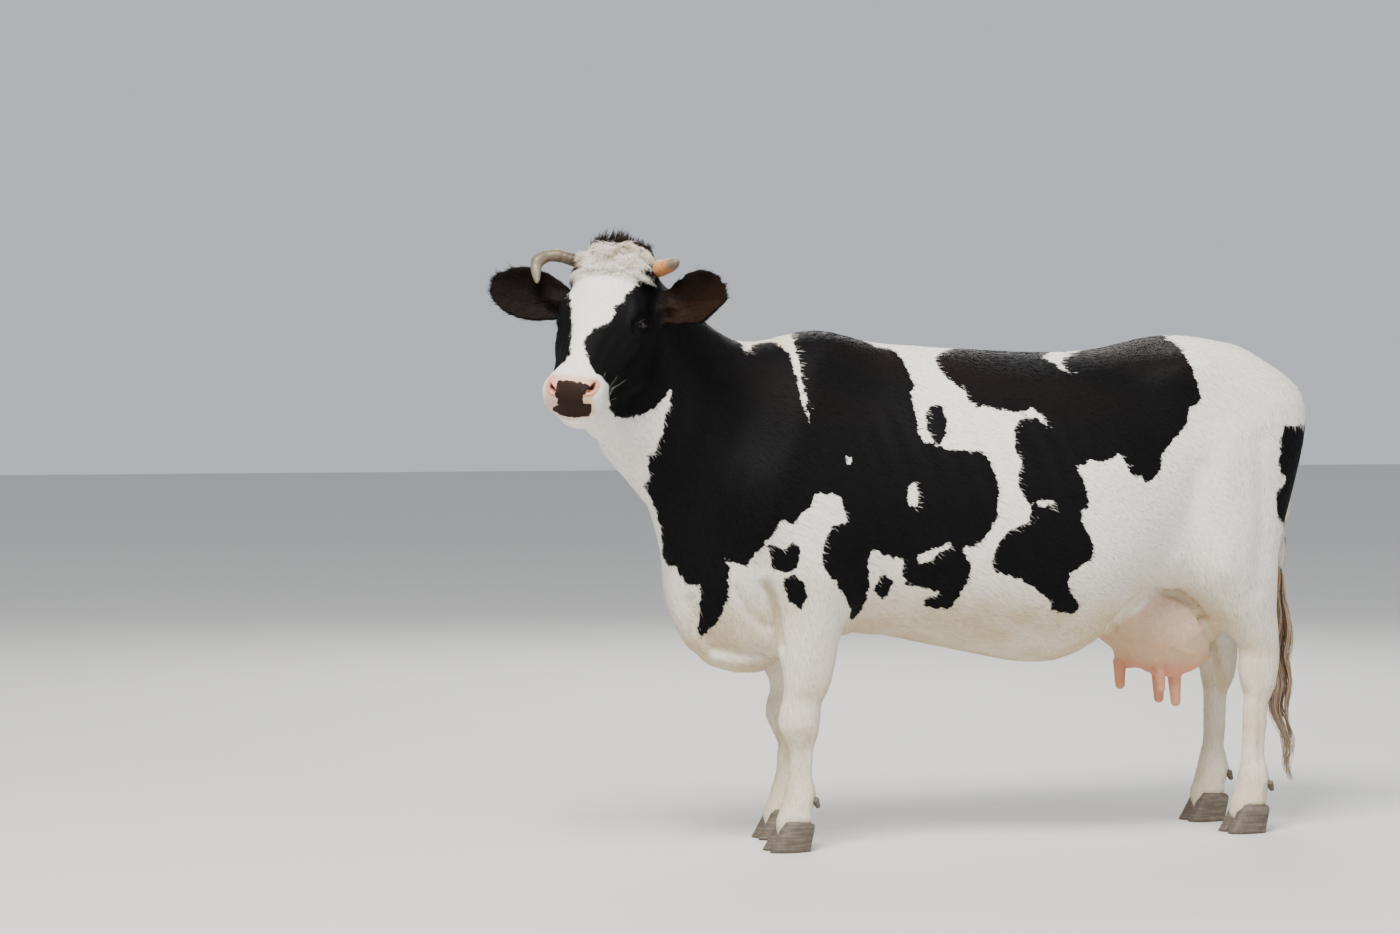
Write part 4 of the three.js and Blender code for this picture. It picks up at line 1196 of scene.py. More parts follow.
    def from_grooves(self) -> Array:
        """The distance of each vertex from the nearest groove, in picture points."""
        flat = VIEW.flat(self.points)
        return np.min([away_from(flat, path) for path, _, _ in Creases.grooves], axis=0)

    def teat_lines(self) -> list[tuple[Array, Array]]:
        """The middle of each teat's root and of its tip."""
        return [
            (np.array([x, y, z]), np.array([x + 0.004, 1.05 * y - 0.0012, z - self.teat_length]))
            for x, y, z in self.teats
        ]

    def shape_teats(self) -> None:
        """Brings the vertices round each teat on to one tapered, round-ended form."""
        for root, tip in self.teat_lines():
            away, t = along_path(self.points, (root, tip))
            axis = root + (tip - root) * t[:, None]
            radius = np.interp(t, (0, 1), self.teat_radii)
            target = axis + unit(self.points - axis) * radius[:, None]
            share = smooth_step(0.02, 0.25, t) * (away < 0.036) * (self.of(Part.UDDER) > 0)
            self.points = self.points + (target - self.points) * share[:, None]

    def hug_ears(self) -> None:
        """Brings the ears' vertices back on to the ears' solids."""
        for i in np.flatnonzero(self.of(*EARS)):
            hit = self.tree.find_nearest(self.points[i])
            if self.owner[hit[2]] == self.part[i]:
                self.points[i] = self.points[i] * 0.25 + np.array(hit[0]) * 0.75

    # ---------- modelling
    def model(self) -> None:
        """Sinks the skin by the coat's depth and gives it its folds and features."""
        head = self.web.spread(self.of(Part.HEAD, Part.EYE), 6)
        ears = self.web.spread(self.of(*EARS), 2)
        legs = self.web.spread(self.of(*LEGS, Part.TAIL) * (self.points[:, 2] < 0.75), 10)
        udder = self.web.spread(self.of(Part.UDDER), 4)
        hoof = self.web.spread(self.of(Part.HOOF), 2)
        body = np.clip(1 - head - ears - legs - udder, 0, 1)
        depth = self.depth * body + self.face_depth * head + self.ear_depth * ears + self.leg_depth * legs
        depth = depth + 0.0002 * udder + self.hoof_depth * smooth_step(0.3, 0.9, hoof)
        self.settle(self.points - self.normals * depth[:, None])
        lift = Creases(self).lift() + Muzzle(self).lift()
        self.settle(self.points + self.normals * lift[:, None])
        self.settle(self.with_lids())

    def with_lids(self) -> Array:
        """The vertices' places with the lids open over the eyeballs and the skin folded round them."""
        at = self.at.copy()
        thick, reach, floor = 2.6, 46, -8
        for side in SIDES:
            front, above, out = EYE.local(at, side)
            near = (np.hypot(front, above) < reach) & (out > floor)
            outside = EYE.lid(front, above)
            square = front**2 + above**2
            ball = np.sqrt(np.maximum(EYE.radius**2 - square, 0))
            dome = EYE.radius - square / (2 * 25.0)
            over = np.where(square < (0.85 * EYE.radius) ** 2, ball, dome) + thick
            crease = -1.8 * bell(outside - 8.5, 2.6) * (above > 0)
            crease = crease - 1.1 * bell(outside - 6.0, 2.4) * (above < 0)
            target = out + (over + crease - out) * smooth_step(26, 5, outside)
            target = np.where(outside < 0.6, ball - 4.5, target)
            at += np.where(near, target - out, 0.0)[:, None] * EYE.axes(side)[2]
        return HEAD.outward(at)

    # ---------- measuring
    def measure(self) -> None:
        """Stores the markings, the bare places and the lie of the hair on the skin."""
        z = self.points[:, 2]
        near = self.web.spread(smooth_step(-0.02, 0.22, -self.normals @ VIEW.axes()[0]), 3)
        self.mark = self.markings(near)
        self.ears = self.web.spread(self.of(*EARS), 2)
        self.head_share = self.web.spread(self.of(Part.HEAD, Part.EYE), 3)
        self.leg_share = self.web.spread(self.of(*LEGS), 6)
        self.udder = self.web.spread(self.of(Part.UDDER), 2)
        self.tail = self.of(Part.TAIL)
        self.down = np.clip(self.leg_share * smooth_step(0.75, 0.60, z) + self.udder + self.tail, 0, 1)
        muzzle = Muzzle(self)
        self.nose = muzzle.pad()
        self.nostril = muzzle.hollow()
        # Painted shade along the near side's grooves: the hair there turns towards the colour of stained
        # hair, and hair covers the udder's bare skin there so that the painted shade shows.
        grooves = bell(self.from_grooves(), 3.4) * near * 0.9
        teats = self.of(Part.UDDER) * smooth_step(self.teat_top, 0.455, z)
        hairless = (self.udder * 0.80 + teats * 0.2) * (1 - np.clip(grooves * 1.2, 0, 1))
        self.bare = np.clip(hairless + muzzle.bare(), 0, 1)
        self.flush = np.clip(muzzle.flush() + teats * 0.75, 0, 1)
        self.soil_and_shade = self.stains_and_shade(near, grooves)
        self.brown = self.brown_places()
        self.flow = self.lie_of_hair()
        for name in ROOT_VALUES:
            put(self.mesh, name, getattr(self, name))

    def markings(self, near: Array) -> Array:
        """How deep each vertex lies in black hair, in metres.

        Args:
            near: 1 for each vertex of the near side, 0 for the far one.

        Returns:
            The depths, negative in white hair.
        """
        nowhere = -1.0
        body = MARKINGS.near(self.points) * near + MARKINGS.far(self.points) * (1 - near)
        nape = np.minimum(-6 - self.at[:, 0], self.at[:, 2] + 235) * MM
        body = np.maximum(body, np.where(self.points[:, 0] < -0.60, nape, nowhere))
        beside = (self.at[:, 1] > 90) & (self.at[:, 2] < -140)
        cheek = inside_by(VIEW.flat(self.points), MARKINGS.cheek) / VIEW.per_metre(self.points)
        face = np.maximum(MARKINGS.head(self.at), np.where(beside, cheek, nowhere))
        head = self.web.spread(self.of(Part.HEAD, Part.EYE), 1)
        mark = body * (1 - head) + face * head
        legs = self.of(*LEGS) * smooth_step(0.62, 0.56, self.points[:, 2]) > 0.5
        white = legs | (self.of(Part.TAIL, Part.UDDER, Part.HOOF) > 0)
        return np.where(self.of(*EARS) > 0, ALWAYS, np.where(white, NEVER, mark))

    def stains_and_shade(self, near: Array, grooves: Array) -> Array:
        """Where white hair is cream-coloured or stained, and where shade is painted into it, 0 to 1.

        Args:
            near: 1 for each vertex of the near side, 0 for the far one.
            grooves: How close each vertex is to a groove, 0 to 1; painted shade is laid along them.

        Returns:
            The shares of stained hair and of painted shade.
        """
        x, _, z = self.points.T
        along, _, out = self.at.T
        # Creamier towards the bottom and on faces turned down: partly soiling, partly painted shade of the
        # lower body and the belly.
        low = smooth_step(0.92, 0.25, z) * 0.72
        belly = smooth_step(0.0, -0.7, self.normals[:, 2]) * smooth_step(0.85, 0.6, z) * 0.7
        # The crown's white hair is cream-coloured; the wave pattern laid over it is painted shade between the
        # curls.
        cream_and_curl_shade = smooth_step(150, 20, along) * smooth_step(-80, 0, out) * self.head_share * 0.72
        cream_and_curl_shade = cream_and_curl_shade * (0.55 + 0.9 * smooth_step(0.1, 0.7, crown_waves(self.at)))
        crest = smooth_step(1.30, 1.36, z) * bell(x + 0.46, 0.12) * 0.55
        knee = bell(from_nearest(VIEW.flat(self.points), [self.knee]), 9.0) * near * 0.6
        return np.clip(low + belly + cream_and_curl_shade + crest + knee + grooves + self.tail * 0.35, 0, 1)

    def brown_places(self) -> Array:
        """Where black hair is faded: inside the ears, along the poll and low on the neck."""
        inner = np.zeros(len(self.points))
        along, aside, _ = self.at.T
        for side, part in zip(SIDES, EARS):
            face = HEAD.way(unit(np.array([0.55, -0.3 * side, 0.78])))
            share = 0.13 + (side == LEFT) * 0.36 * smooth_step(58, 108, along)
            share = share * smooth_step(118, 160, np.abs(aside))
            inner += self.of(part) * smooth_step(-0.1, 0.7, self.normals @ face) * share
        poll = smooth_step(12, -12, along) * self.head_share * 0.30
        x, y, z = self.points.T
        cloud = 0.5 + 0.5 * np.sin(x * 9.0 + 2.0 * np.sin(z * 11.0 + y * 7.0))
        top = smooth_step(1.08, 1.36, z) * smooth_step(-0.62, -0.40, x) * cloud * 0.16
        return np.clip(inner + self.of(*EARS) * 0.06 + poll + top, 0, 1)

    def lie_of_hair(self) -> Array:
        """The way that the hair points, along the skin."""
        x, _, z = self.points.T
        back = np.array([0.86, 0.0, -0.45])
        neck = np.array([0.55, 0.05, -0.80])
        down = np.array([0.12, 0.0, -1.0])
        thigh = smooth_step(0.62, 0.95, x) * smooth_step(1.38, 1.15, z)
        leg = np.clip(smooth_step(0.95, 0.70, z) * self.leg_share + thigh + self.tail, 0, 1)
        on_neck = smooth_step(-0.42, -0.66, x)
        flow = back * (1 - on_neck)[:, None] + neck * on_neck[:, None]
        flow = flow * (1 - leg)[:, None] + down * leg[:, None]
        along, aside, out = self.at.T
        whorl = np.stack([along - 118, aside * 0.9, out * 0.4 + 10], axis=1)
        cheek = np.stack(np.broadcast_arrays(0.35, 0.2 * np.sign(aside), -0.9), axis=1)
        sideways = smooth_step(62, 98, np.abs(aside)) * smooth_step(440, 380, along)
        local = unit(whorl) * (1 - sideways)[:, None] + cheek * sideways[:, None]
        share = self.head_share[:, None]
        flow = flow * (1 - share) + HEAD.way(local) * share
        for side, part in zip(SIDES, EARS):
            flow = np.where(self.of(part)[:, None] > 0, HEAD.way([0.1, side, 0.46]), flow)
        flow = self.web.spread(flow, 6)
        flow = flow - self.normals * (flow * self.normals).sum(1)[:, None]
        return unit(flow)

    # ---------- the piece
    def show(self, finish: Material) -> bpy.types.Object:
        """Makes the skin a piece in place of the flesh and unwraps it.

        Args:
            finish: The coat's material.

        Returns:
            The skin.
        """
        skin = seen("skin", self.mesh, finish)
        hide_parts(*FLESH)
        self.mesh.uv_layers.new(name="OFBake")
        bpy.context.view_layer.objects.active = skin
        skin.select_set(True)
        bpy.ops.object.mode_set(mode="EDIT")
        bpy.ops.mesh.select_all(action="SELECT")
        bpy.ops.uv.smart_project(angle_limit=math.radians(66), island_margin=0.002)
        bpy.ops.object.mode_set(mode="OBJECT")
        skin.select_set(False)
        return skin


@dataclass
class Creases:
    """The folds, ridges and hollows of the body under the coat.

    Attributes:
        throat: The picture points of the chin and throat, and their height in millimetres.
        dewlap: The same for the dewlap and the brisket.
        grooves: Lines on the near side where the udder and the chest meet the legs, their width in
            picture points and their depth in metres.
        folds: Folds and muscles of both sides, with their width and their height, the same way.
        vein: The milk vein under the belly: how far back it lies and how far aside, in metres.
        udder_veins: The veins of the udder: how far back they lie and how high, in metres.
        ribs: How far apart the ribs are, in metres.
    """

    hide: Hide
    throat: tuple = (
        (556, 415, 0), (564, 421, 9), (575, 424, 17), (588, 427, 22), (600, 435, 32), (611, 447, 42),
        (621, 461, 38), (633, 482, 22), (646, 507, 0),
    )  # fmt: skip
    dewlap: tuple = (
        (662, 560, 0), (668, 585, 8), (680, 613, 18), (697, 636, 32), (715, 651, 32), (737, 660, 28),
        (757, 662, 20), (777, 655, 0),
    )  # fmt: skip
    grooves: tuple = (
        (
            ((1112, 628), (1128, 610), (1144, 597), (1160, 592), (1176, 594), (1192, 604), (1204, 620)),
            4.0, 0.018,
        ),
        (((1204, 620), (1213, 642), (1219, 668), (1224, 690)), 4.0, 0.012),
        (((716, 646), (740, 652), (768, 652)), 4.0, 0.011),
        (((766, 586), (773, 600), (777, 622), (778, 648)), 4.0, 0.012),
    )  # fmt: skip
    folds: tuple = (
        (((766, 586), (773, 612), (778, 650)), 5.5, -0.015),
        (((690, 600), (697, 625), (712, 648)), 5.0, -0.008),
        (((735, 590), (748, 612), (766, 628)), 5.0, -0.005),
        (((858, 560), (862, 600), (856, 642)), 7.0, -0.010),
        (((820, 360), (800, 440), (770, 520)), 14.0, 0.005),
        (((690, 345), (686, 400), (676, 455)), 7.0, -0.004),
        (((715, 370), (708, 440), (696, 510)), 8.0, -0.004),
        (((742, 420), (734, 490), (722, 560)), 9.0, -0.003),
        (((1178, 560), (1170, 590), (1150, 612), (1120, 625)), 7.0, 0.008),
        (((1202, 470), (1190, 530), (1196, 575)), 12.0, -0.009),
        (((1232, 440), (1225, 500), (1228, 570)), 13.0, 0.006),
        (((1262, 440), (1264, 520), (1258, 590)), 8.0, -0.007),
    )
    vein: tuple = (
        (0.56, 0.13), (0.45, 0.17), (0.33, 0.15), (0.20, 0.18), (0.08, 0.155), (-0.02, 0.17),
        (-0.10, 0.14),
    )  # fmt: skip
    udder_veins: tuple = (
        ((0.60, 0.63), (0.66, 0.58), (0.70, 0.60), (0.78, 0.56), (0.84, 0.58)),
        ((0.64, 0.66), (0.69, 0.62), (0.76, 0.63), (0.82, 0.61)),
        ((0.70, 0.56), (0.72, 0.52), (0.78, 0.50)),
    )
    ribs: float = 0.068

    def lift(self) -> Array:
        """How far each vertex is raised, in metres."""
        total = self.folded() + self.grooved() + self.bony() + self.milk_vein()
        total += self.legs() + self.udder()
        return total + self.hanging(self.throat) + self.hanging(self.dewlap)

    def folded(self) -> Array:
        """The folds and muscles of the neck, the trunk and the legs, on both sides alike."""
        hide = self.hide
        x, y, z = hide.points.T
        flat = VIEW.flat(np.stack([x, -np.abs(y), z], axis=1))
        flesh = hide.web.spread(hide.of(Part.TRUNK, Part.NECK, *LEGS), 3) * (hide.of(Part.TAIL) < 0.5)
        return flesh * sum(height * bell(away_from(flat, path), width) for path, width, height in self.folds)

    def grooved(self) -> Array:
        """The grooves where the udder and the chest meet the legs of the near side."""
        hide = self.hide
        flat = VIEW.flat(hide.points)
        far_legs = hide.of(Part.HINDLEG_RIGHT, Part.FORELEG_RIGHT) > 0.5
        near = (hide.normals @ VIEW.axes()[0] < 0.1) & ~far_legs
        return -sum(depth * bell(away_from(flat, path), width) for path, width, depth in self.grooves) * near

    def bony(self) -> Array:
        """The ribs, the hollow in front of the hip, and the spine."""
        hide = self.hide
        x, y, z = hide.points.T
        sides = smooth_step(0.35, 0.8, np.abs(hide.normals[:, 1]))
        rib = np.sin((x + 0.30 * (z - 1.0)) * 2 * math.pi / self.ribs)
        window = smooth_step(-0.30, -0.16, x) * smooth_step(0.42, 0.26, x)
        window = window * smooth_step(0.70, 0.84, z) * smooth_step(1.24, 1.10, z)
        hollow = bell(np.hypot((x - 0.57) / 0.105, (z - 1.20) / 0.085), 0.9)
        spine = bell(y - 0.02, 0.018) * smooth_step(0.05, 0.25, x) * smooth_step(1.05, 0.85, x) * (z > 1.3)
        return (0.0014 * rib * window - 0.009 * hollow) * sides + 0.003 * spine

    def milk_vein(self) -> Array:
        """The milk veins under the belly."""
        hide = self.hide
        x, y, z = hide.points.T
        below = smooth_step(-0.3, -0.7, hide.normals[:, 2]) * hide.of(Part.TRUNK) * (z < 0.75)
        return 0.005 * bell(away_from(np.stack([x, np.abs(y - 0.02)], axis=1), self.vein), 0.009) * below

    def hanging(self, line: tuple) -> Array:
        """Loose skin that hangs under a line of picture points with heights."""
        hide = self.hide
        ridge = np.array(line, float)
        away, place = along_path(VIEW.flat(hide.points), ridge[:, :2])
        height = np.interp(place, np.linspace(0, 1, len(ridge)), ridge[:, 2]) * MM
        edge = smooth_step(0.90, 0.45, np.abs(hide.normals @ VIEW.axes()[0]))
        return height * bell(away, 13.0) * hide.web.spread(edge, 4)

    def legs(self) -> Array:
        """Tendons and joints of the lower legs."""
        hide = self.hide
        x, y, z = hide.points.T
        total = np.zeros(len(x))
        for name, (foot_x, foot_y) in FEET.items():
            top = 0.300 if name.startswith("fore") else 0.400
            flank = smooth_step(0.012, 0.026, np.abs(y - foot_y))
            shin = smooth_step(0.175, 0.205, z) * smooth_step(top + 0.02, top - 0.03, z)
            tendon = shin * flank * bell(x - foot_x - 0.030, 0.010)
            pastern = bell(z - 0.085, 0.016)
            total += hide.of(Part(name.replace("_", "leg_"))) * (0.003 * pastern - 0.005 * tendon)
        return total

    def udder(self) -> Array:
        """The cleft between the halves of the udder, its quarters and its veins."""
        hide = self.hide
        x, y, z = hide.points.T
        sides = smooth_step(0.3, 0.7, np.abs(hide.normals[:, 1]))
        total = -0.010 * bell(y - 0.026, 0.013) * smooth_step(0.60, 0.50, z)
        total -= 0.004 * bell(x - 0.715, 0.016) * smooth_step(0.58, 0.50, z)
        for path in self.udder_veins:
            total += 0.0022 * bell(away_from(np.stack([x, z], axis=1), path), 0.005) * sides
        return total * hide.web.spread(hide.of(Part.UDDER), 2)


@dataclass
class Muzzle:
    """Nose, mouth and the small forms of the face, in the head's own millimetres.

    Attributes:
        lips: The line of the mouth from the left corner to the right one.
        dark_pad: The outline of the dark pad of the nose, seen from the front.
        ridges: Lines of the left half of the face, their width and their height.
    """

    hide: Hide
    lips: tuple = (
        (396, 84, -126), (425, 83, -116), (455, 78, -109), (486, 62, -105), (506, 36, -103),
        (513, 0, -102), (506, -36, -103), (486, -62, -105), (455, -78, -109), (425, -83, -116),
        (396, -84, -126),
    )  # fmt: skip
    dark_pad: tuple = (
        (-26, -4), (-10, 4), (20, 4), (40, 0), (56, -14), (62, -24), (50, -27), (42, -33), (43, -50),
        (60, -56), (58, -80), (46, -95), (-34, -95), (-50, -86), (-44, -70), (-27, -60), (-26, -40),
        (-32, -28),
    )  # fmt: skip
    ridges: tuple = (
        (((160, 92, -28), (205, 100, -32), (235, 96, -46)), 13, 5.0),
        (((262, 108, -98), (320, 92, -100), (375, 78, -92)), 11, 3.6),
        (((285, 62, -26), (350, 54, -30), (420, 48, -32)), 10, -2.6),
        (((250, 92, -66), (275, 84, -62), (300, 76, -58)), 8, -2.6),
        (((150, 108, -130), (235, 104, -160), (300, 88, -170)), 30, 4.0),
        (((130, 108, -190), (200, 104, -232), (290, 80, -236)), 13, 2.5),
        (((392, 80, -100), (400, 80, -70), (405, 74, -40)), 9, -2.2),
        (((330, 60, -225), (380, 58, -200), (420, 50, -180)), 9, -3.0),
        (((100, 60, 0), (130, 40, 6), (165, 26, 6)), 22, 3.0),
    )

    @staticmethod
    def nostril(side: int) -> Array:
        """The middle of a nostril."""
        return np.array([480.0, side * 50.0 + 11.0, -26.0])

    def comma(self, side: int) -> Array:
        """How far outside the nostril's comma-shaped rim a point is; the rim is at 1."""
        along, aside, out = sided(self.hide.at - self.nostril(side), side).T
        slant = aside * 0.80 - along * 0.35 + out * 0.45
        across = aside * -0.50 - along * 0.25 + out * 0.80
        across = across - 0.016 * slant**2
        return np.sqrt((slant / 15.0) ** 2 + (across / 8.0) ** 2 + (np.maximum(-along - 22, 0) / 10) ** 2)

    def rim(self) -> Array:
        """The same for the nearest nostril."""
        return np.minimum(self.comma(LEFT), self.comma(RIGHT))

    def lift(self) -> Array:
        """How far each vertex is raised, in metres."""
        at = self.hide.at
        along, aside, out = at.T
        mouth = away_from(at, self.lips)
        total = -5.0 * bell(mouth, 3.6) + 1.6 * bell(mouth - 9, 5.0)
        for side in SIDES:
            rim = self.comma(side)
            total += -15.0 * (1 - smooth_step(0.45, 1.0, rim)) + 3.2 * bell(rim - 1.28, 0.24)
            for path, width, height in self.ridges:
                total += height * bell(away_from(at, sided(path, side)), width)
        total -= 2.5 * bell(along - 452, 7) * smooth_step(-60, -20, out) * smooth_step(60, 30, np.abs(aside))
        crown = smooth_step(115, 70, along) * smooth_step(-12, 6, along) * smooth_step(-70, -35, out)
        total += crown * (3.0 * crown_waves(at) - 1.5)
        total -= 1.6 * bell(aside, 2.4) * smooth_step(488, 500, along) * smooth_step(-40, -60, out)
        return total * self.hide.web.spread(self.hide.of(Part.HEAD, Part.EYE), 2) * MM

    def pad(self) -> Array:
        """The dark pad of the nose, 0 to 1, with its edge at a half."""
        along, aside, out = self.hide.at.T
        depth = inside_by(np.stack([aside, out], axis=1), self.dark_pad)
        return smooth_step(-7, 7, np.minimum(depth, along - 474)) * self.hide.of(Part.HEAD)

    def hollow(self) -> Array:
        """The dark inside of the nostrils, 0 to 1."""
        return smooth_step(0.95, 0.70, self.rim()) * self.hide.of(Part.HEAD)

    def flush(self) -> Array:
        """The warmer skin round the nostrils."""
        return smooth_step(2.9, 1.0, self.rim()) * 0.75 * self.hide.of(Part.HEAD)

    def bare(self) -> Array:
        """Where the muzzle's skin shows through its short hair."""
        along, aside, out = self.hide.at.T
        front = smooth_step(440, 468, along) * smooth_step(-104, -88, out)
        front = front * smooth_step(74, 58, np.abs(aside))
        edge = bell(away_from(self.hide.at, self.lips), 5.0) * 0.6
        return np.clip(front * 0.9 + smooth_step(2.8, 1.4, self.rim()) + edge, 0, 1) * self.hide.of(Part.HEAD)


# ---------- the coat
@dataclass(frozen=True)
class Locks:
    """One kind of hair tuft.

    Attributes:
        seed: The seed of its scatter.
        density: How many tufts stand on a square metre, at most.
        length: How long a tuft is, in metres.
        width: How wide its root is.
        lift: How far its tip stands off the skin.
        rings: How many cross-sections it has before its tip.
        curl: How far it waves to the side.
        turns: How many waves it makes.
        stray: How far its direction strays, in radians.
        vary: How much the lengths differ.
        sag: How far the tip hangs down.
        tone: How much the tufts differ in brightness.
        mark: The lowest and the highest depth in black hair that its tufts take.
    """

    seed: int
    density: float
    length: float
    width: float
    lift: float
    rings: int = 1
    curl: float = 0.0
    turns: float = 1.0
    stray: float = 0.22
    vary: float = 0.3
    sag: float = 0.0
    tone: float = 1.0
    mark: tuple[float, float] = (-math.inf, math.inf)


LOCKS = {
    "coat_body": Locks(1, 11500, length=0.019, width=0.0018, lift=0.0010, stray=0.15),
    "coat_legs": Locks(2, 22000, length=0.012, width=0.0014, lift=0.0009, stray=0.14),
    "coat_face": Locks(3, 62000, length=0.0085, width=0.0010, lift=0.0007, stray=0.16),
    "coat_forehead": Locks(
        4, 330000, length=0.036, width=0.0018, lift=0.0055, rings=4, curl=0.0032, stray=0.24, vary=0.35,
        tone=1.5,
    ),
    "coat_poll": Locks(
        5, 130000, length=0.021, width=0.0019, lift=0.015, rings=3, curl=0.003, turns=0.6, stray=0.40,
        vary=0.4, mark=(0.02, math.inf),
    ),
    "coat_ears": Locks(6, 125000, length=0.012, width=0.0008, lift=0.0022, rings=2, stray=0.26, vary=0.35),
    "coat_ear_wisps": Locks(
        7, 13000, length=0.026, width=0.0010, lift=0.007, rings=3, curl=0.002, stray=0.35, vary=0.4
    ),
    "coat_tail": Locks(8, 26000, length=0.022, width=0.0026, lift=0.003, stray=0.12),
    "coat_udder": Locks(9, 9000, length=0.010, width=0.0011, lift=0.003, stray=0.5, mark=(NEVER, NEVER)),
    "coat_whiskers": Locks(
        10, 1100, length=0.038, width=0.00028, lift=0.015, rings=5, stray=0.35, vary=0.4, sag=0.004,
        mark=(NEVER, NEVER),
    ),
    "coat_lashes": Locks(
        11, 330000, length=0.013, width=0.0007, lift=0.010, rings=3, stray=0.2, sag=0.003,
        mark=(ALWAYS, ALWAYS),
    ),
}  # fmt: skip


def fan(count: int) -> Array:
    """Flat directions that turn from one point of a tuft to the next."""
    turn = np.arange(count) * 2.4
    return np.stack([np.cos(turn), np.sin(turn)], axis=1)


def map_on_skin(mesh: Mesh, places: Array) -> None:
    """Gives a mesh its OFBake map, with a place on the skin's unwrap for each vertex."""
    corners = take(mesh.loops, "vertex_index", kind=np.int32)
    give(mesh.uv_layers.new(name="OFBake").data, "uv", places[corners])


def spike_faces(rings: int) -> Array:
    """The triangles of a closed spike of three-cornered rings that ends in a point."""
    faces = [(0, 1, 2)]
    for k in range(rings - 1):
        for i in range(3):
            a, b = 3 * k + i, 3 * k + (i + 1) % 3
            faces += [(a, b + 3, b), (a, a + 3, b + 3)]
    last = 3 * (rings - 1)
    return np.array(faces + [(last + i, 3 * rings, last + (i + 1) % 3) for i in range(3)])


def tufts(
    root: Array, normal: Array, way: Array, kind: Locks, scale: Array, rng: np.random.Generator
) -> Array:
    """The points of closed, curved spikes that lie along the skin.

    Args:
        root: Where each tuft starts.
        normal: The way that the skin faces there.
        way: The way that the tuft points.
        kind: The tuft.
        scale: Each tuft's size against its kind.
        rng: The source of chance.

    Returns:
        The points, by tuft and by place in the tuft.
    """
    side = np.cross(normal, way)
    width = kind.width * (0.75 + 0.5 * rng.random(len(root))) * np.sqrt(scale)
    rise = kind.lift * scale * (0.5 + rng.random(len(root)))
    phase = rng.random(len(root)) * 2 * math.pi
    sunk = 0.0010
    points = []
    for k in range(kind.rings + 1):
        t = k / kind.rings
        bow = rise * (1.6 * t - 0.6 * t * t) - sunk * (1 - t)
        wave = kind.curl * scale * t**0.6
        turned = phase + 2 * math.pi * kind.turns * t
        centre = root + way * (kind.length * scale * t)[:, None] + normal * bow[:, None]
        centre = centre + side * (wave * np.sin(turned))[:, None]
        centre = centre + normal * (wave * 0.6 * (1 + np.cos(turned)))[:, None]
        centre[:, 2] -= kind.sag * scale * t * t
        if k == kind.rings:
            points.append(centre[:, None, :])
            break
        half = (width * 0.5 * (1 - 0.75 * t**1.4))[:, None]
        top = normal * (half * 0.8 + 0.0003)
        points.append(np.stack([centre + side * half, centre - side * half, centre + top], axis=1))
    return np.concatenate(points, axis=1)


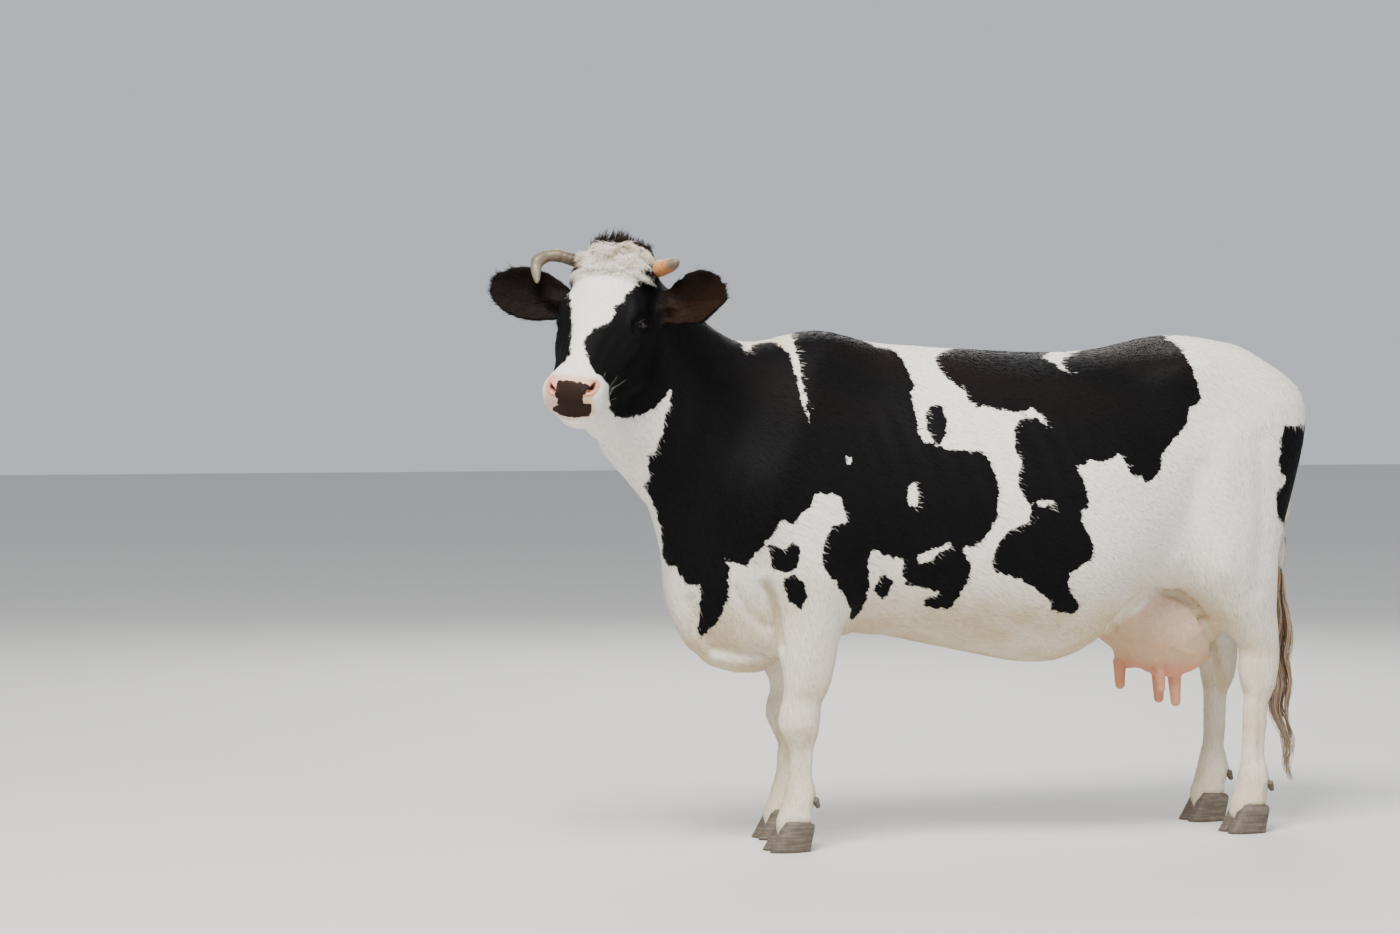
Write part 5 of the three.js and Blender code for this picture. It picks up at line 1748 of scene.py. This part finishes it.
@dataclass
class Coat:
    """The hair that lies over the skin, in joined meshes of closed tufts.

    Attributes:
        hide: The skin.
        finish: The coat's material.
        limit: How many triangles a piece may have.
        patch: The size of a tuft's patch on the skin's unwrap.
    """

    hide: Hide
    finish: Material
    limit: int = 195_000
    patch: float = 0.003

    def prepare(self) -> None:
        """Reads the skin's triangles and its unwrap."""
        mesh = self.hide.mesh
        mesh.calc_loop_triangles()
        self.corners = take(mesh.loop_triangles, "vertices", 3, np.int32)
        loops = take(mesh.loop_triangles, "loops", 3, np.int32)
        self.uv = take(mesh.uv_layers["OFBake"].data, "uv", 2)[loops]
        a, b, c = (self.hide.points[self.corners[:, i]] for i in range(3))
        self.area = np.linalg.norm(np.cross(b - a, c - a), axis=1) / 2

    def roots(self, density: Array, rng: np.random.Generator) -> tuple[Array, Array]:
        """Scatters roots over the skin.

        Args:
            density: Tufts per square metre at each vertex.
            rng: The source of chance.

        Returns:
            The triangle of each root, and its weights for the triangle's corners.
        """
        weight = self.area * density[self.corners].mean(axis=1)
        total = np.cumsum(weight)
        count = int(total[-1])
        picks = (np.arange(count) + rng.random(count)) / max(count, 1) * total[-1]
        face = np.minimum(np.searchsorted(total, picks), len(total) - 1)
        u, v = rng.random((2, count))
        fold = u + v > 1
        u, v = np.where(fold, 1 - u, u), np.where(fold, 1 - v, v)
        return face, np.stack([1 - u - v, u, v], axis=1)

    def grow(
        self, name: str, share: Array, length: Array | None = None, flow: Array | None = None
    ) -> None:
        """Makes one or more coat pieces of one kind of tuft.

        Args:
            name: The pieces' name, and the kind's.
            share: How thick the tufts stand at each vertex, 0 to 1.
            length: A factor for the length at each vertex.
            flow: The way the hair points at each vertex, if not the skin's own.
        """
        kind, hide = LOCKS[name], self.hide
        rng = np.random.default_rng(SEED * 1000 + kind.seed)
        face, weights = self.roots(kind.density * share, rng)
        pick = self.corners[face]

        def at_root(values: Array) -> Array:
            """Values of the vertices, weighed at the roots."""
            if values.ndim == 1:
                return (values[pick] * weights).sum(axis=1)
            return (values[pick] * weights[:, :, None]).sum(axis=1)

        root = at_root(hide.points)
        normal = unit(at_root(hide.normals))
        way = at_root(hide.flow if flow is None else flow)
        way = unit(way - normal * (way * normal).sum(1)[:, None])
        angle = rng.normal(0, kind.stray, len(root))[:, None]
        way = way * np.cos(angle) + np.cross(normal, way) * np.sin(angle)
        scale = 1 + kind.vary * rng.uniform(-1, 1, len(root))
        if length is not None:
            scale = scale * at_root(length)
        points = tufts(root, normal, way, kind, scale, rng)
        faces = spike_faces(kind.rings)
        values = {key: at_root(getattr(hide, key)) for key in ROOT_VALUES}
        values["bare"] = values["bare"] * 0.35
        values["nose"] = np.zeros(len(root))
        values["mark"] = np.clip(values["mark"] + rng.normal(0, 0.0022, len(root)), *kind.mark)
        values["tint"] = rng.uniform(-1, 1, len(root)) * kind.tone
        uv = (self.uv[face] * weights[:, :, None]).sum(axis=1)
        lean = unit(normal + way * 0.18 + rng.normal(0, 0.10, normal.shape))
        pieces = math.ceil(len(root) * len(faces) / self.limit)
        order = np.argsort(root[:, 0], kind="stable")
        for number, chosen in enumerate(np.array_split(order, max(1, pieces))):
            label = f"{name}_{number + 1}" if pieces > 1 else name
            own = {key: value[chosen] for key, value in values.items()}
            self.piece(label, points[chosen], faces, own, uv[chosen], lean[chosen])

    def piece(
        self, name: str, points: Array, faces: Array, values: dict[str, Array], uv: Array, lean: Array
    ) -> None:
        """Makes one coat piece of tufts that are worked out.

        Args:
            name: The piece's name.
            points: The points of each tuft.
            faces: The triangles of one tuft.
            values: What each tuft takes over from its root.
            uv: Each root's place on the skin's unwrap.
            lean: The way that each tuft is shaded.
        """
        count, per = points.shape[:2]
        if count == 0:
            return
        mesh = spikes_mesh(name, points, faces)
        for key, value in values.items():
            put(mesh, key, np.repeat(value, per))
        spot = fan(per) * (self.patch / 2) * (0.4 + 0.6 * np.arange(per)[:, None] / per)
        map_on_skin(mesh, np.clip(uv[:, None, :] + spot[None], 0.001, 0.999).reshape(-1, 2))
        seen(name, mesh, self.finish)
        mesh.normals_split_custom_set_from_vertices(np.repeat(lean, per, axis=0))
        mesh.update()

    def haired(self) -> Array:
        """Where short hair grows: not on bare skin, hooves, the nose or the eyes, 0 to 1."""
        hide = self.hide
        share = np.clip(1 - hide.bare * 1.15, 0, 1) * (hide.of(Part.HOOF) < 0.5)
        share = share * (1 - smooth_step(0.3, 0.6, hide.nose))
        for side in SIDES:
            front, above, out = EYE.local(hide.at, side)
            share = share * np.where(out > -10, smooth_step(2.0, 5.0, EYE.lid(front, above)), 1.0)
        return share

    def build(self) -> None:
        """Grows every kind of hair."""
        self.prepare()
        hide = self.hide
        z = hide.points[:, 2]
        along, aside, out = hide.at.T
        wide = np.abs(aside)
        haired = self.haired()
        head = hide.head_share * (1 - hide.ears)
        body = np.clip(1 - hide.head_share - hide.ears - hide.udder - hide.tail, 0, 1) * haired
        shin = smooth_step(0.62, 0.5, z)
        self.grow("coat_body", body * (1 - shin), 1 - 0.35 * shin)
        self.grow("coat_legs", body * shin)
        self.grow("coat_face", head * haired, 1 - 0.45 * smooth_step(400, 470, along))
        crown = smooth_step(126, 62, along) * smooth_step(-14, -4, along) * smooth_step(-75, -40, out)
        crown = crown * smooth_step(112, 84, wide) * head * haired
        self.grow("coat_forehead", crown, 0.35 + 0.65 * smooth_step(112, 48, along), self.forelock())
        ridge = bell(along + 20, 9) * smooth_step(-95, -60, out) * smooth_step(92, 74, wide) * hide.head_share
        self.grow("coat_poll", ridge, 1.15 - 0.60 * smooth_step(0, 50, aside), self.upright())
        ears = hide.ears * (1 - smooth_step(0.4, 0.8, hide.head_share))
        self.grow("coat_ears", ears)
        self.grow("coat_ear_wisps", ears * smooth_step(0.12, 0.18, hide.brown))
        lips = smooth_step(385, 420, along) * smooth_step(505, 485, along) * smooth_step(44, 62, wide)
        lips = lips * smooth_step(-20, -50, out) * smooth_step(-135, -115, out) * head
        self.grow("coat_whiskers", lips, flow=self.outwards())
        self.grow("coat_lashes", self.lash_line())
        self.grow("coat_tail", hide.tail)
        self.grow("coat_udder", hide.udder * smooth_step(0.50, 0.62, z))

    def forelock(self) -> Array:
        """The way that the curls of the forehead fall: forward and to both sides."""
        along, aside, _ = self.hide.at.T
        swirl = np.sin(along / 8.5 + 1.7 * np.sin(aside / 13.0)) + 0.7 * np.sin(aside / 9.0 - along / 15.0)
        ways = (0.9 - 0.25 * np.abs(swirl), aside / 105.0 + 0.8 * swirl, np.zeros_like(along))
        return HEAD.way(np.stack(ways, axis=1))

    def lash_line(self) -> Array:
        """Where the lashes of the upper lids grow, 0 to 1."""
        line = np.zeros(len(self.hide.points))
        for side in SIDES:
            front, above, out = EYE.local(self.hide.at, side)
            opening = (out > 0) & (above > 1) & (np.abs(front) < EYE.half)
            line += opening * bell(EYE.lid(front, above) - 2.5, 1.6)
        return line

    def outwards(self) -> Array:
        """The way that the whiskers point: aside and back."""
        aside = np.sign(self.hide.at[:, 1]) * 0.8
        return HEAD.way(np.stack(np.broadcast_arrays(-0.8, aside, 0.0), axis=1))

    def upright(self) -> Array:
        """The way that the hair of the poll stands: up and a little back."""
        return np.repeat(HEAD.way(np.array([[-1.0, 0.15, 0.35]])), len(self.hide.points), axis=0)


@dataclass
class Brush:
    """The tail's long brown hair.

    Attributes:
        path: The middle of the switch: x, y, z and how wide it spreads, in metres.
        root: Where the skin of the tail ends.
        strands: How many strands it has.
        locks: How many locks the strands gather in.
        rings: How many cross-sections a strand has before its tip.
    """

    hide: Hide
    path: tuple = (
        (1.126, 0.029, 0.735, 0.014), (1.123, 0.029, 0.680, 0.030), (1.116, 0.030, 0.610, 0.043),
        (1.116, 0.032, 0.520, 0.046), (1.119, 0.032, 0.440, 0.038), (1.127, 0.032, 0.350, 0.028),
        (1.144, 0.032, 0.260, 0.019), (1.157, 0.031, 0.185, 0.010), (1.166, 0.031, 0.115, 0.004),
    )  # fmt: skip
    root: tuple = (1.126, 0.029, 0.73)
    strands: int = 900
    locks: int = 34
    rings: int = 16

    def build(self, finish: Material) -> None:
        """Makes the switch as one piece of closed strands.

        Args:
            finish: The coat's material.
        """
        rng = np.random.default_rng(SEED)
        path = np.array(self.path)
        count = self.strands
        start = rng.beta(1.1, 2.2, count) * 0.62
        end = np.minimum(start + rng.uniform(0.30, 0.62, count), rng.uniform(0.72, 1.0, count))
        end = np.where(rng.random(count) < 0.07, 1.0, end)
        lock = rng.integers(0, self.locks, count)
        angle = (rng.random(self.locks) * 2 * math.pi)[lock] + rng.normal(0, 0.20, count)
        radius = np.sqrt(rng.random(self.locks))[lock] * rng.uniform(0.75, 1.0, count)
        phase = (rng.random(self.locks) * 2 * math.pi)[lock] + rng.normal(0, 0.25, count)
        width = rng.uniform(0.0014, 0.0030, count)
        stations = np.linspace(0, 1, len(path))
        away = np.stack([np.cos(angle), np.sin(angle), np.zeros(count)], axis=1)
        across = np.stack([-np.sin(angle), np.cos(angle), np.zeros(count)], axis=1)
        points = []
        for k in range(self.rings + 1):
            t = k / self.rings
            place = start + (end - start) * t
            core = np.stack([np.interp(place, stations, path[:, i]) for i in range(3)], axis=1)
            core[:, 0] += 0.007 * np.sin(place * 25 + 0.6) * np.minimum(place * 2, 1)
            spread = np.interp(place, stations, path[:, 3])
            bloom = radius * (0.35 + 0.75 * np.minimum(place * 2.6, 1))
            wave = 0.0085 * np.sin(phase + place * 26) * t
            sway = 0.0065 * np.sin(phase * 2 + place * 21) * t
            centre = core + away * (spread * bloom + wave)[:, None] + across * sway[:, None]
            if k == self.rings:
                points.append(centre[:, None])
                break
            half = (width * 0.5 * (1 - t**2.2 * 0.85))[:, None]
            corners = (centre + across * half, centre - across * half, centre + away * half * 1.2)
            points.append(np.stack(corners, axis=1))
        points = np.concatenate(points, axis=1)
        per = points.shape[1]
        mesh = spikes_mesh("coat_switch", points, spike_faces(self.rings))
        put(mesh, "mark", np.full(count * per, NEVER))
        put(mesh, "down", np.ones(count * per))
        for name, low, high in (("soil_and_shade", 0.0, 0.6), ("tan", 0.45, 1.0), ("tint", -1.0, 1.0)):
            put(mesh, name, np.repeat(rng.uniform(low, high, count), per))
        map_on_skin(mesh, np.tile(self.place_on_skin() + fan(per) * 0.0015, (count, 1)))
        brush = seen("coat_switch", mesh, finish)
        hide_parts("tail_switch")

    def place_on_skin(self) -> Array:
        """The tail end's place on the skin's unwrap."""
        mesh = self.hide.mesh
        end = from_nearest(self.hide.points, [self.root]).argmin()
        loop = np.flatnonzero(take(mesh.loops, "vertex_index", kind=np.int32) == end)[0]
        return np.array(mesh.uv_layers["OFBake"].data[loop].uv)


# ---------- eyes, horns, hooves
@dataclass
class Eyes:
    """The eyeballs and the bare edges of their lids.

    Attributes:
        edge: How thick the edge is, against its plain size.
        iris: The radius of the iris, in millimetres.
        pupil: Half the length and half the height of the pupil.
        steps: How many cross-sections the edge has.
        ring: How many corners a cross-section has.
    """

    edge: float = 1.25
    iris: float = 15.5
    pupil: tuple = (8.0, 4.2)
    steps: int = 56
    ring: int = 8

    def build(self) -> None:
        """Makes both eyes."""
        finish, lid = EyeFinish().make(), LidFinish().make()
        for side, name in ((LEFT, "left"), (RIGHT, "right")):
            self.ball(side, name, finish)
            self.lids(side, name, lid)

    def ball(self, side: int, name: str, finish: Material) -> None:
        """An eyeball with a slightly raised cornea.

        Args:
            side: The animal's side.
            name: Its name.
            finish: The eye's material.
        """
        build = bmesh.new()
        bmesh.ops.create_uvsphere(build, u_segments=48, v_segments=32, radius=EYE.radius)
        mesh = written(build, f"eyeball_{name}")
        local = points_of(mesh)
        around = np.hypot(local[:, 0], local[:, 1])
        local[:, 2] += 1.2 * smooth_step(15, 4, around) * (local[:, 2] > 0)
        turned = local @ np.stack(EYE.axes(side)) + EYE.centre(side)
        ring = np.where(local[:, 2] > 0, around / self.iris, 2.0)
        pupil = np.linalg.norm(local[:, :2] / self.pupil, axis=1)
        pupil = np.where(local[:, 2] > 0, pupil, 9.0)
        place_points(mesh, HEAD.outward(turned))
        if side == LEFT:
            mesh.flip_normals()
        put(mesh, "ring", ring)
        put(mesh, "pupil", pupil)
        ball = seen(f"eyeball_{name}", mesh, finish)
        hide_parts(f"eye_{name}")

    def lids(self, side: int, name: str, finish: Material) -> None:
        """The rounded bare edge round the opening of the lids.

        Args:
            side: The animal's side.
            name: Its name.
            finish: The edge's material.
        """
        turn = np.linspace(0, 2 * math.pi, self.steps, endpoint=False)
        front = EYE.half * np.cos(turn)
        arch = np.maximum(1 - (np.abs(front) / EYE.half) ** EYE.arch, 0)
        height = np.where(np.sin(turn) > 0, EYE.upper, -EYE.lower) * arch
        out = np.sqrt(np.maximum((EYE.radius + 1.0) ** 2 - front**2 - height**2, 0))
        line = np.stack([front, height, out], axis=1)
        axes = np.stack(EYE.axes(side))
        build = bmesh.new()
        loops = []
        for i in range(self.steps):
            ahead = unit(line[(i + 1) % self.steps] - line[i - 1])
            outward = unit(line[i])
            across = np.cross(ahead, outward)
            circle = []
            for j in range(self.ring):
                a = 2 * math.pi * j / self.ring
                spot = line[i] + (outward * math.sin(a) * 1.3 + across * math.cos(a) * 1.7) * self.edge
                circle.append(build.verts.new(HEAD.outward(spot @ axes + EYE.centre(side))))
            loops.append(circle)
        for i in range(self.steps):
            a, b = loops[i], loops[(i + 1) % self.steps]
            for j in range(self.ring):
                build.faces.new((a[j], a[(j + 1) % self.ring], b[(j + 1) % self.ring], b[j]))
        bmesh.ops.recalc_face_normals(build, faces=build.faces)
        seen(f"lid_edge_{name}", written(build, f"lid_edge_{name}"), finish)


@dataclass
class Horns:
    """The two uneven horns: the left one short, the right one bent forward and down.

    Attributes:
        cell: The size of their faces, in metres.
        paths: The middle line of each horn, in the head's own millimetres.
        warmth: How yellow each horn is, from 0 to 1.
    """

    cell: float = 0.0035
    paths: dict = field(
        default_factory=lambda: {
            "left": (
                (22, 66, -56), (22, 100, -52), (24, 118, -46), (30, 137, -34), (40, 158, -16),
                (50, 174, 2), (58, 186, 18),
            ),
            "right": (
                (22, -66, -56), (16, -98, -50), (10, -130, -40), (10, -165, -28), (20, -196, -22),
                (44, -212, -20), (72, -209, -25), (104, -198, -35),
            ),
        }
    )  # fmt: skip
    warmth: dict = field(default_factory=lambda: {"left": 1.0, "right": 0.05})

    def build(self) -> None:
        """Makes both horns as smooth copies of their solids."""
        finish = HornFinish().make()
        for name, path in self.paths.items():
            mesh = remeshed(merged_copy(f"horn_{name}_wrap", [f"horn_{name}"]), self.cell)
            points = points_of(mesh)
            _, rise = along_path(HEAD.inward(points), path)
            points = Web(mesh).spread(points, 10, 0.6)
            place_points(mesh, points)
            ridge = np.sin(rise * HORN_RINGS) * smooth_step(0.6, 0.15, rise)
            thicker = 0.0010 + 0.0024 * smooth_step(0.45, 0.75, rise)
            place_points(mesh, points + normals_of(mesh) * (0.0004 * ridge + thicker)[:, None])
            put(mesh, "rise", rise)
            put(mesh, "warmth", np.full(len(points), self.warmth[name]))
            horn = seen(f"horn_shell_{name}", mesh, finish)
            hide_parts(f"horn_{name}")


@dataclass
class Hooves:
    """The cloven hooves and the dewclaws above them.

    Attributes:
        cell: The size of the hooves' faces, in metres.
        claw: How far a dewclaw stands behind the foot, aside of it and above the ground, in metres.
    """

    cell: float = 0.0045
    claw: tuple = (0.062, 0.024, 0.128)

    def build(self) -> None:
        """Makes the hooves as smooth copies of their solids, and the dewclaws."""
        finish = HoofFinish().make()
        for name in FEET:
            mesh = remeshed(merged_copy(f"hoof_{name}_wrap", [f"hoof_{name}"]), self.cell)
            points = points_of(mesh)
            sole = points[:, 2] < 0.004
            smoothed = Web(mesh).spread(points, 14, 0.6)
            level = smooth_step(0.016, 0.003, points[:, 2])
            points = points * level[:, None] + smoothed * (1 - level)[:, None]
            points[sole, 2] = 0.0
            points[:, 2] = np.maximum(points[:, 2], 0.0)
            place_points(mesh, points)
            hoof = seen(f"hoof_shell_{name}", mesh, finish)
            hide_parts(f"hoof_{name}")
        self.dewclaws(finish)

    def dewclaws(self, finish: Material) -> None:
        """Makes the eight small claws behind the fetlocks."""
        build = bmesh.new()
        behind, beside, rise = self.claw
        for foot_x, foot_y in FEET.values():
            for side in (-1, 1):
                place = Matrix.Translation((foot_x + behind, foot_y + side * beside, rise))
                lean = Matrix.Rotation(math.radians(150), 4, "Y") @ Matrix.Rotation(side * 0.25, 4, "X")
                made = bmesh.ops.create_cone(
                    build, cap_ends=True, segments=16, radius1=0.014, radius2=0.0075, depth=0.030,
                    matrix=place @ lean @ Matrix.Diagonal((0.8, 1.0, 1.0, 1.0)),
                )  # fmt: skip
                own = [e for e in build.edges if all(v in made["verts"] for v in e.verts)]
                bmesh.ops.bevel(
                    build, geom=[e for e in own if abs(e.calc_face_angle(0)) > 0.9], offset=0.004,
                    offset_type="OFFSET", segments=3, profile=0.5, affect="EDGES", material=-1,
                )  # fmt: skip
        seen("dewclaws", written(build, "dewclaws"), finish)


# ---------- studio
@dataclass
class Studio:
    """A plain pale floor and soft light.

    Attributes:
        floor_colour: The floor's colour.
        air: The colour of the light from all round.
        air_strength: The strength of that light.
        gap: How far the floor lies under the soles, in metres.
    """

    floor_colour: tuple = (0.62, 0.61, 0.585, 1)
    air: tuple = (0.80, 0.84, 0.90, 1)
    air_strength: float = 0.72
    gap: float = 0.0005

    def build(self) -> None:
        """Makes the floor, the lights and the surrounding air."""
        build = bmesh.new()
        bmesh.ops.create_grid(build, x_segments=1, y_segments=1, size=40)
        mesh = written(build, "floor")
        floor = linked("floor", mesh)
        floor.location = (0, 0, -self.gap)
        material, graph, shader = fresh_material("floor")
        darker = tuple(c * 0.96 for c in self.floor_colour)
        shade = graph.blend(graph.noise(3.0, 2.0), self.floor_colour, darker)
        graph.into(shader, Base_Color=shade, Roughness=0.9)
        mesh.materials.append(material)
        world = bpy.data.worlds.new("air")
        world.use_nodes = True
        sky = world.node_tree.nodes["Background"]
        sky.inputs["Color"].default_value = self.air
        sky.inputs["Strength"].default_value = self.air_strength
        bpy.context.scene.world = world
        self.lamp("key", (-3.6, -4.6, 8.2), (0.0, 0.0, 0.9), 3.6, 1850, (1.0, 0.965, 0.90))
        self.lamp("fill", (4.5, -6.5, 3.5), (0.2, 0.0, 0.8), 5.0, 190, (0.92, 0.96, 1.0))
        self.lamp("rim", (2.0, 6.0, 5.0), (0.0, 0.0, 1.1), 4.0, 420, (1.0, 0.98, 0.95))

    def lamp(self, name: str, place: tuple, aim: tuple, size: float, power: float, colour: tuple) -> None:
        """A soft square light.

        Args:
            name: Its name.
            place: Where it hangs.
            aim: What it points at.
            size: The length of its sides, in metres.
            power: Its power, in watts.
            colour: Its colour.
        """
        data = bpy.data.lights.new(name, "AREA")
        data.shape = "SQUARE"
        data.size = size
        data.energy = power
        data.color = colour
        aimed(linked(name, data), place, Vector(aim) - Vector(place))


def main() -> None:
    """Builds the cow, piece by piece."""
    VIEW.set_up()
    Studio().build()
    coat = CoatFinish().make()
    hide = Hide()
    hide.build()
    hide.show(coat)
    Coat(hide, coat).build()
    Brush(hide).build(coat)
    Eyes().build()
    Horns().build()
    Hooves().build()


if __name__ == "__main__":
    main()
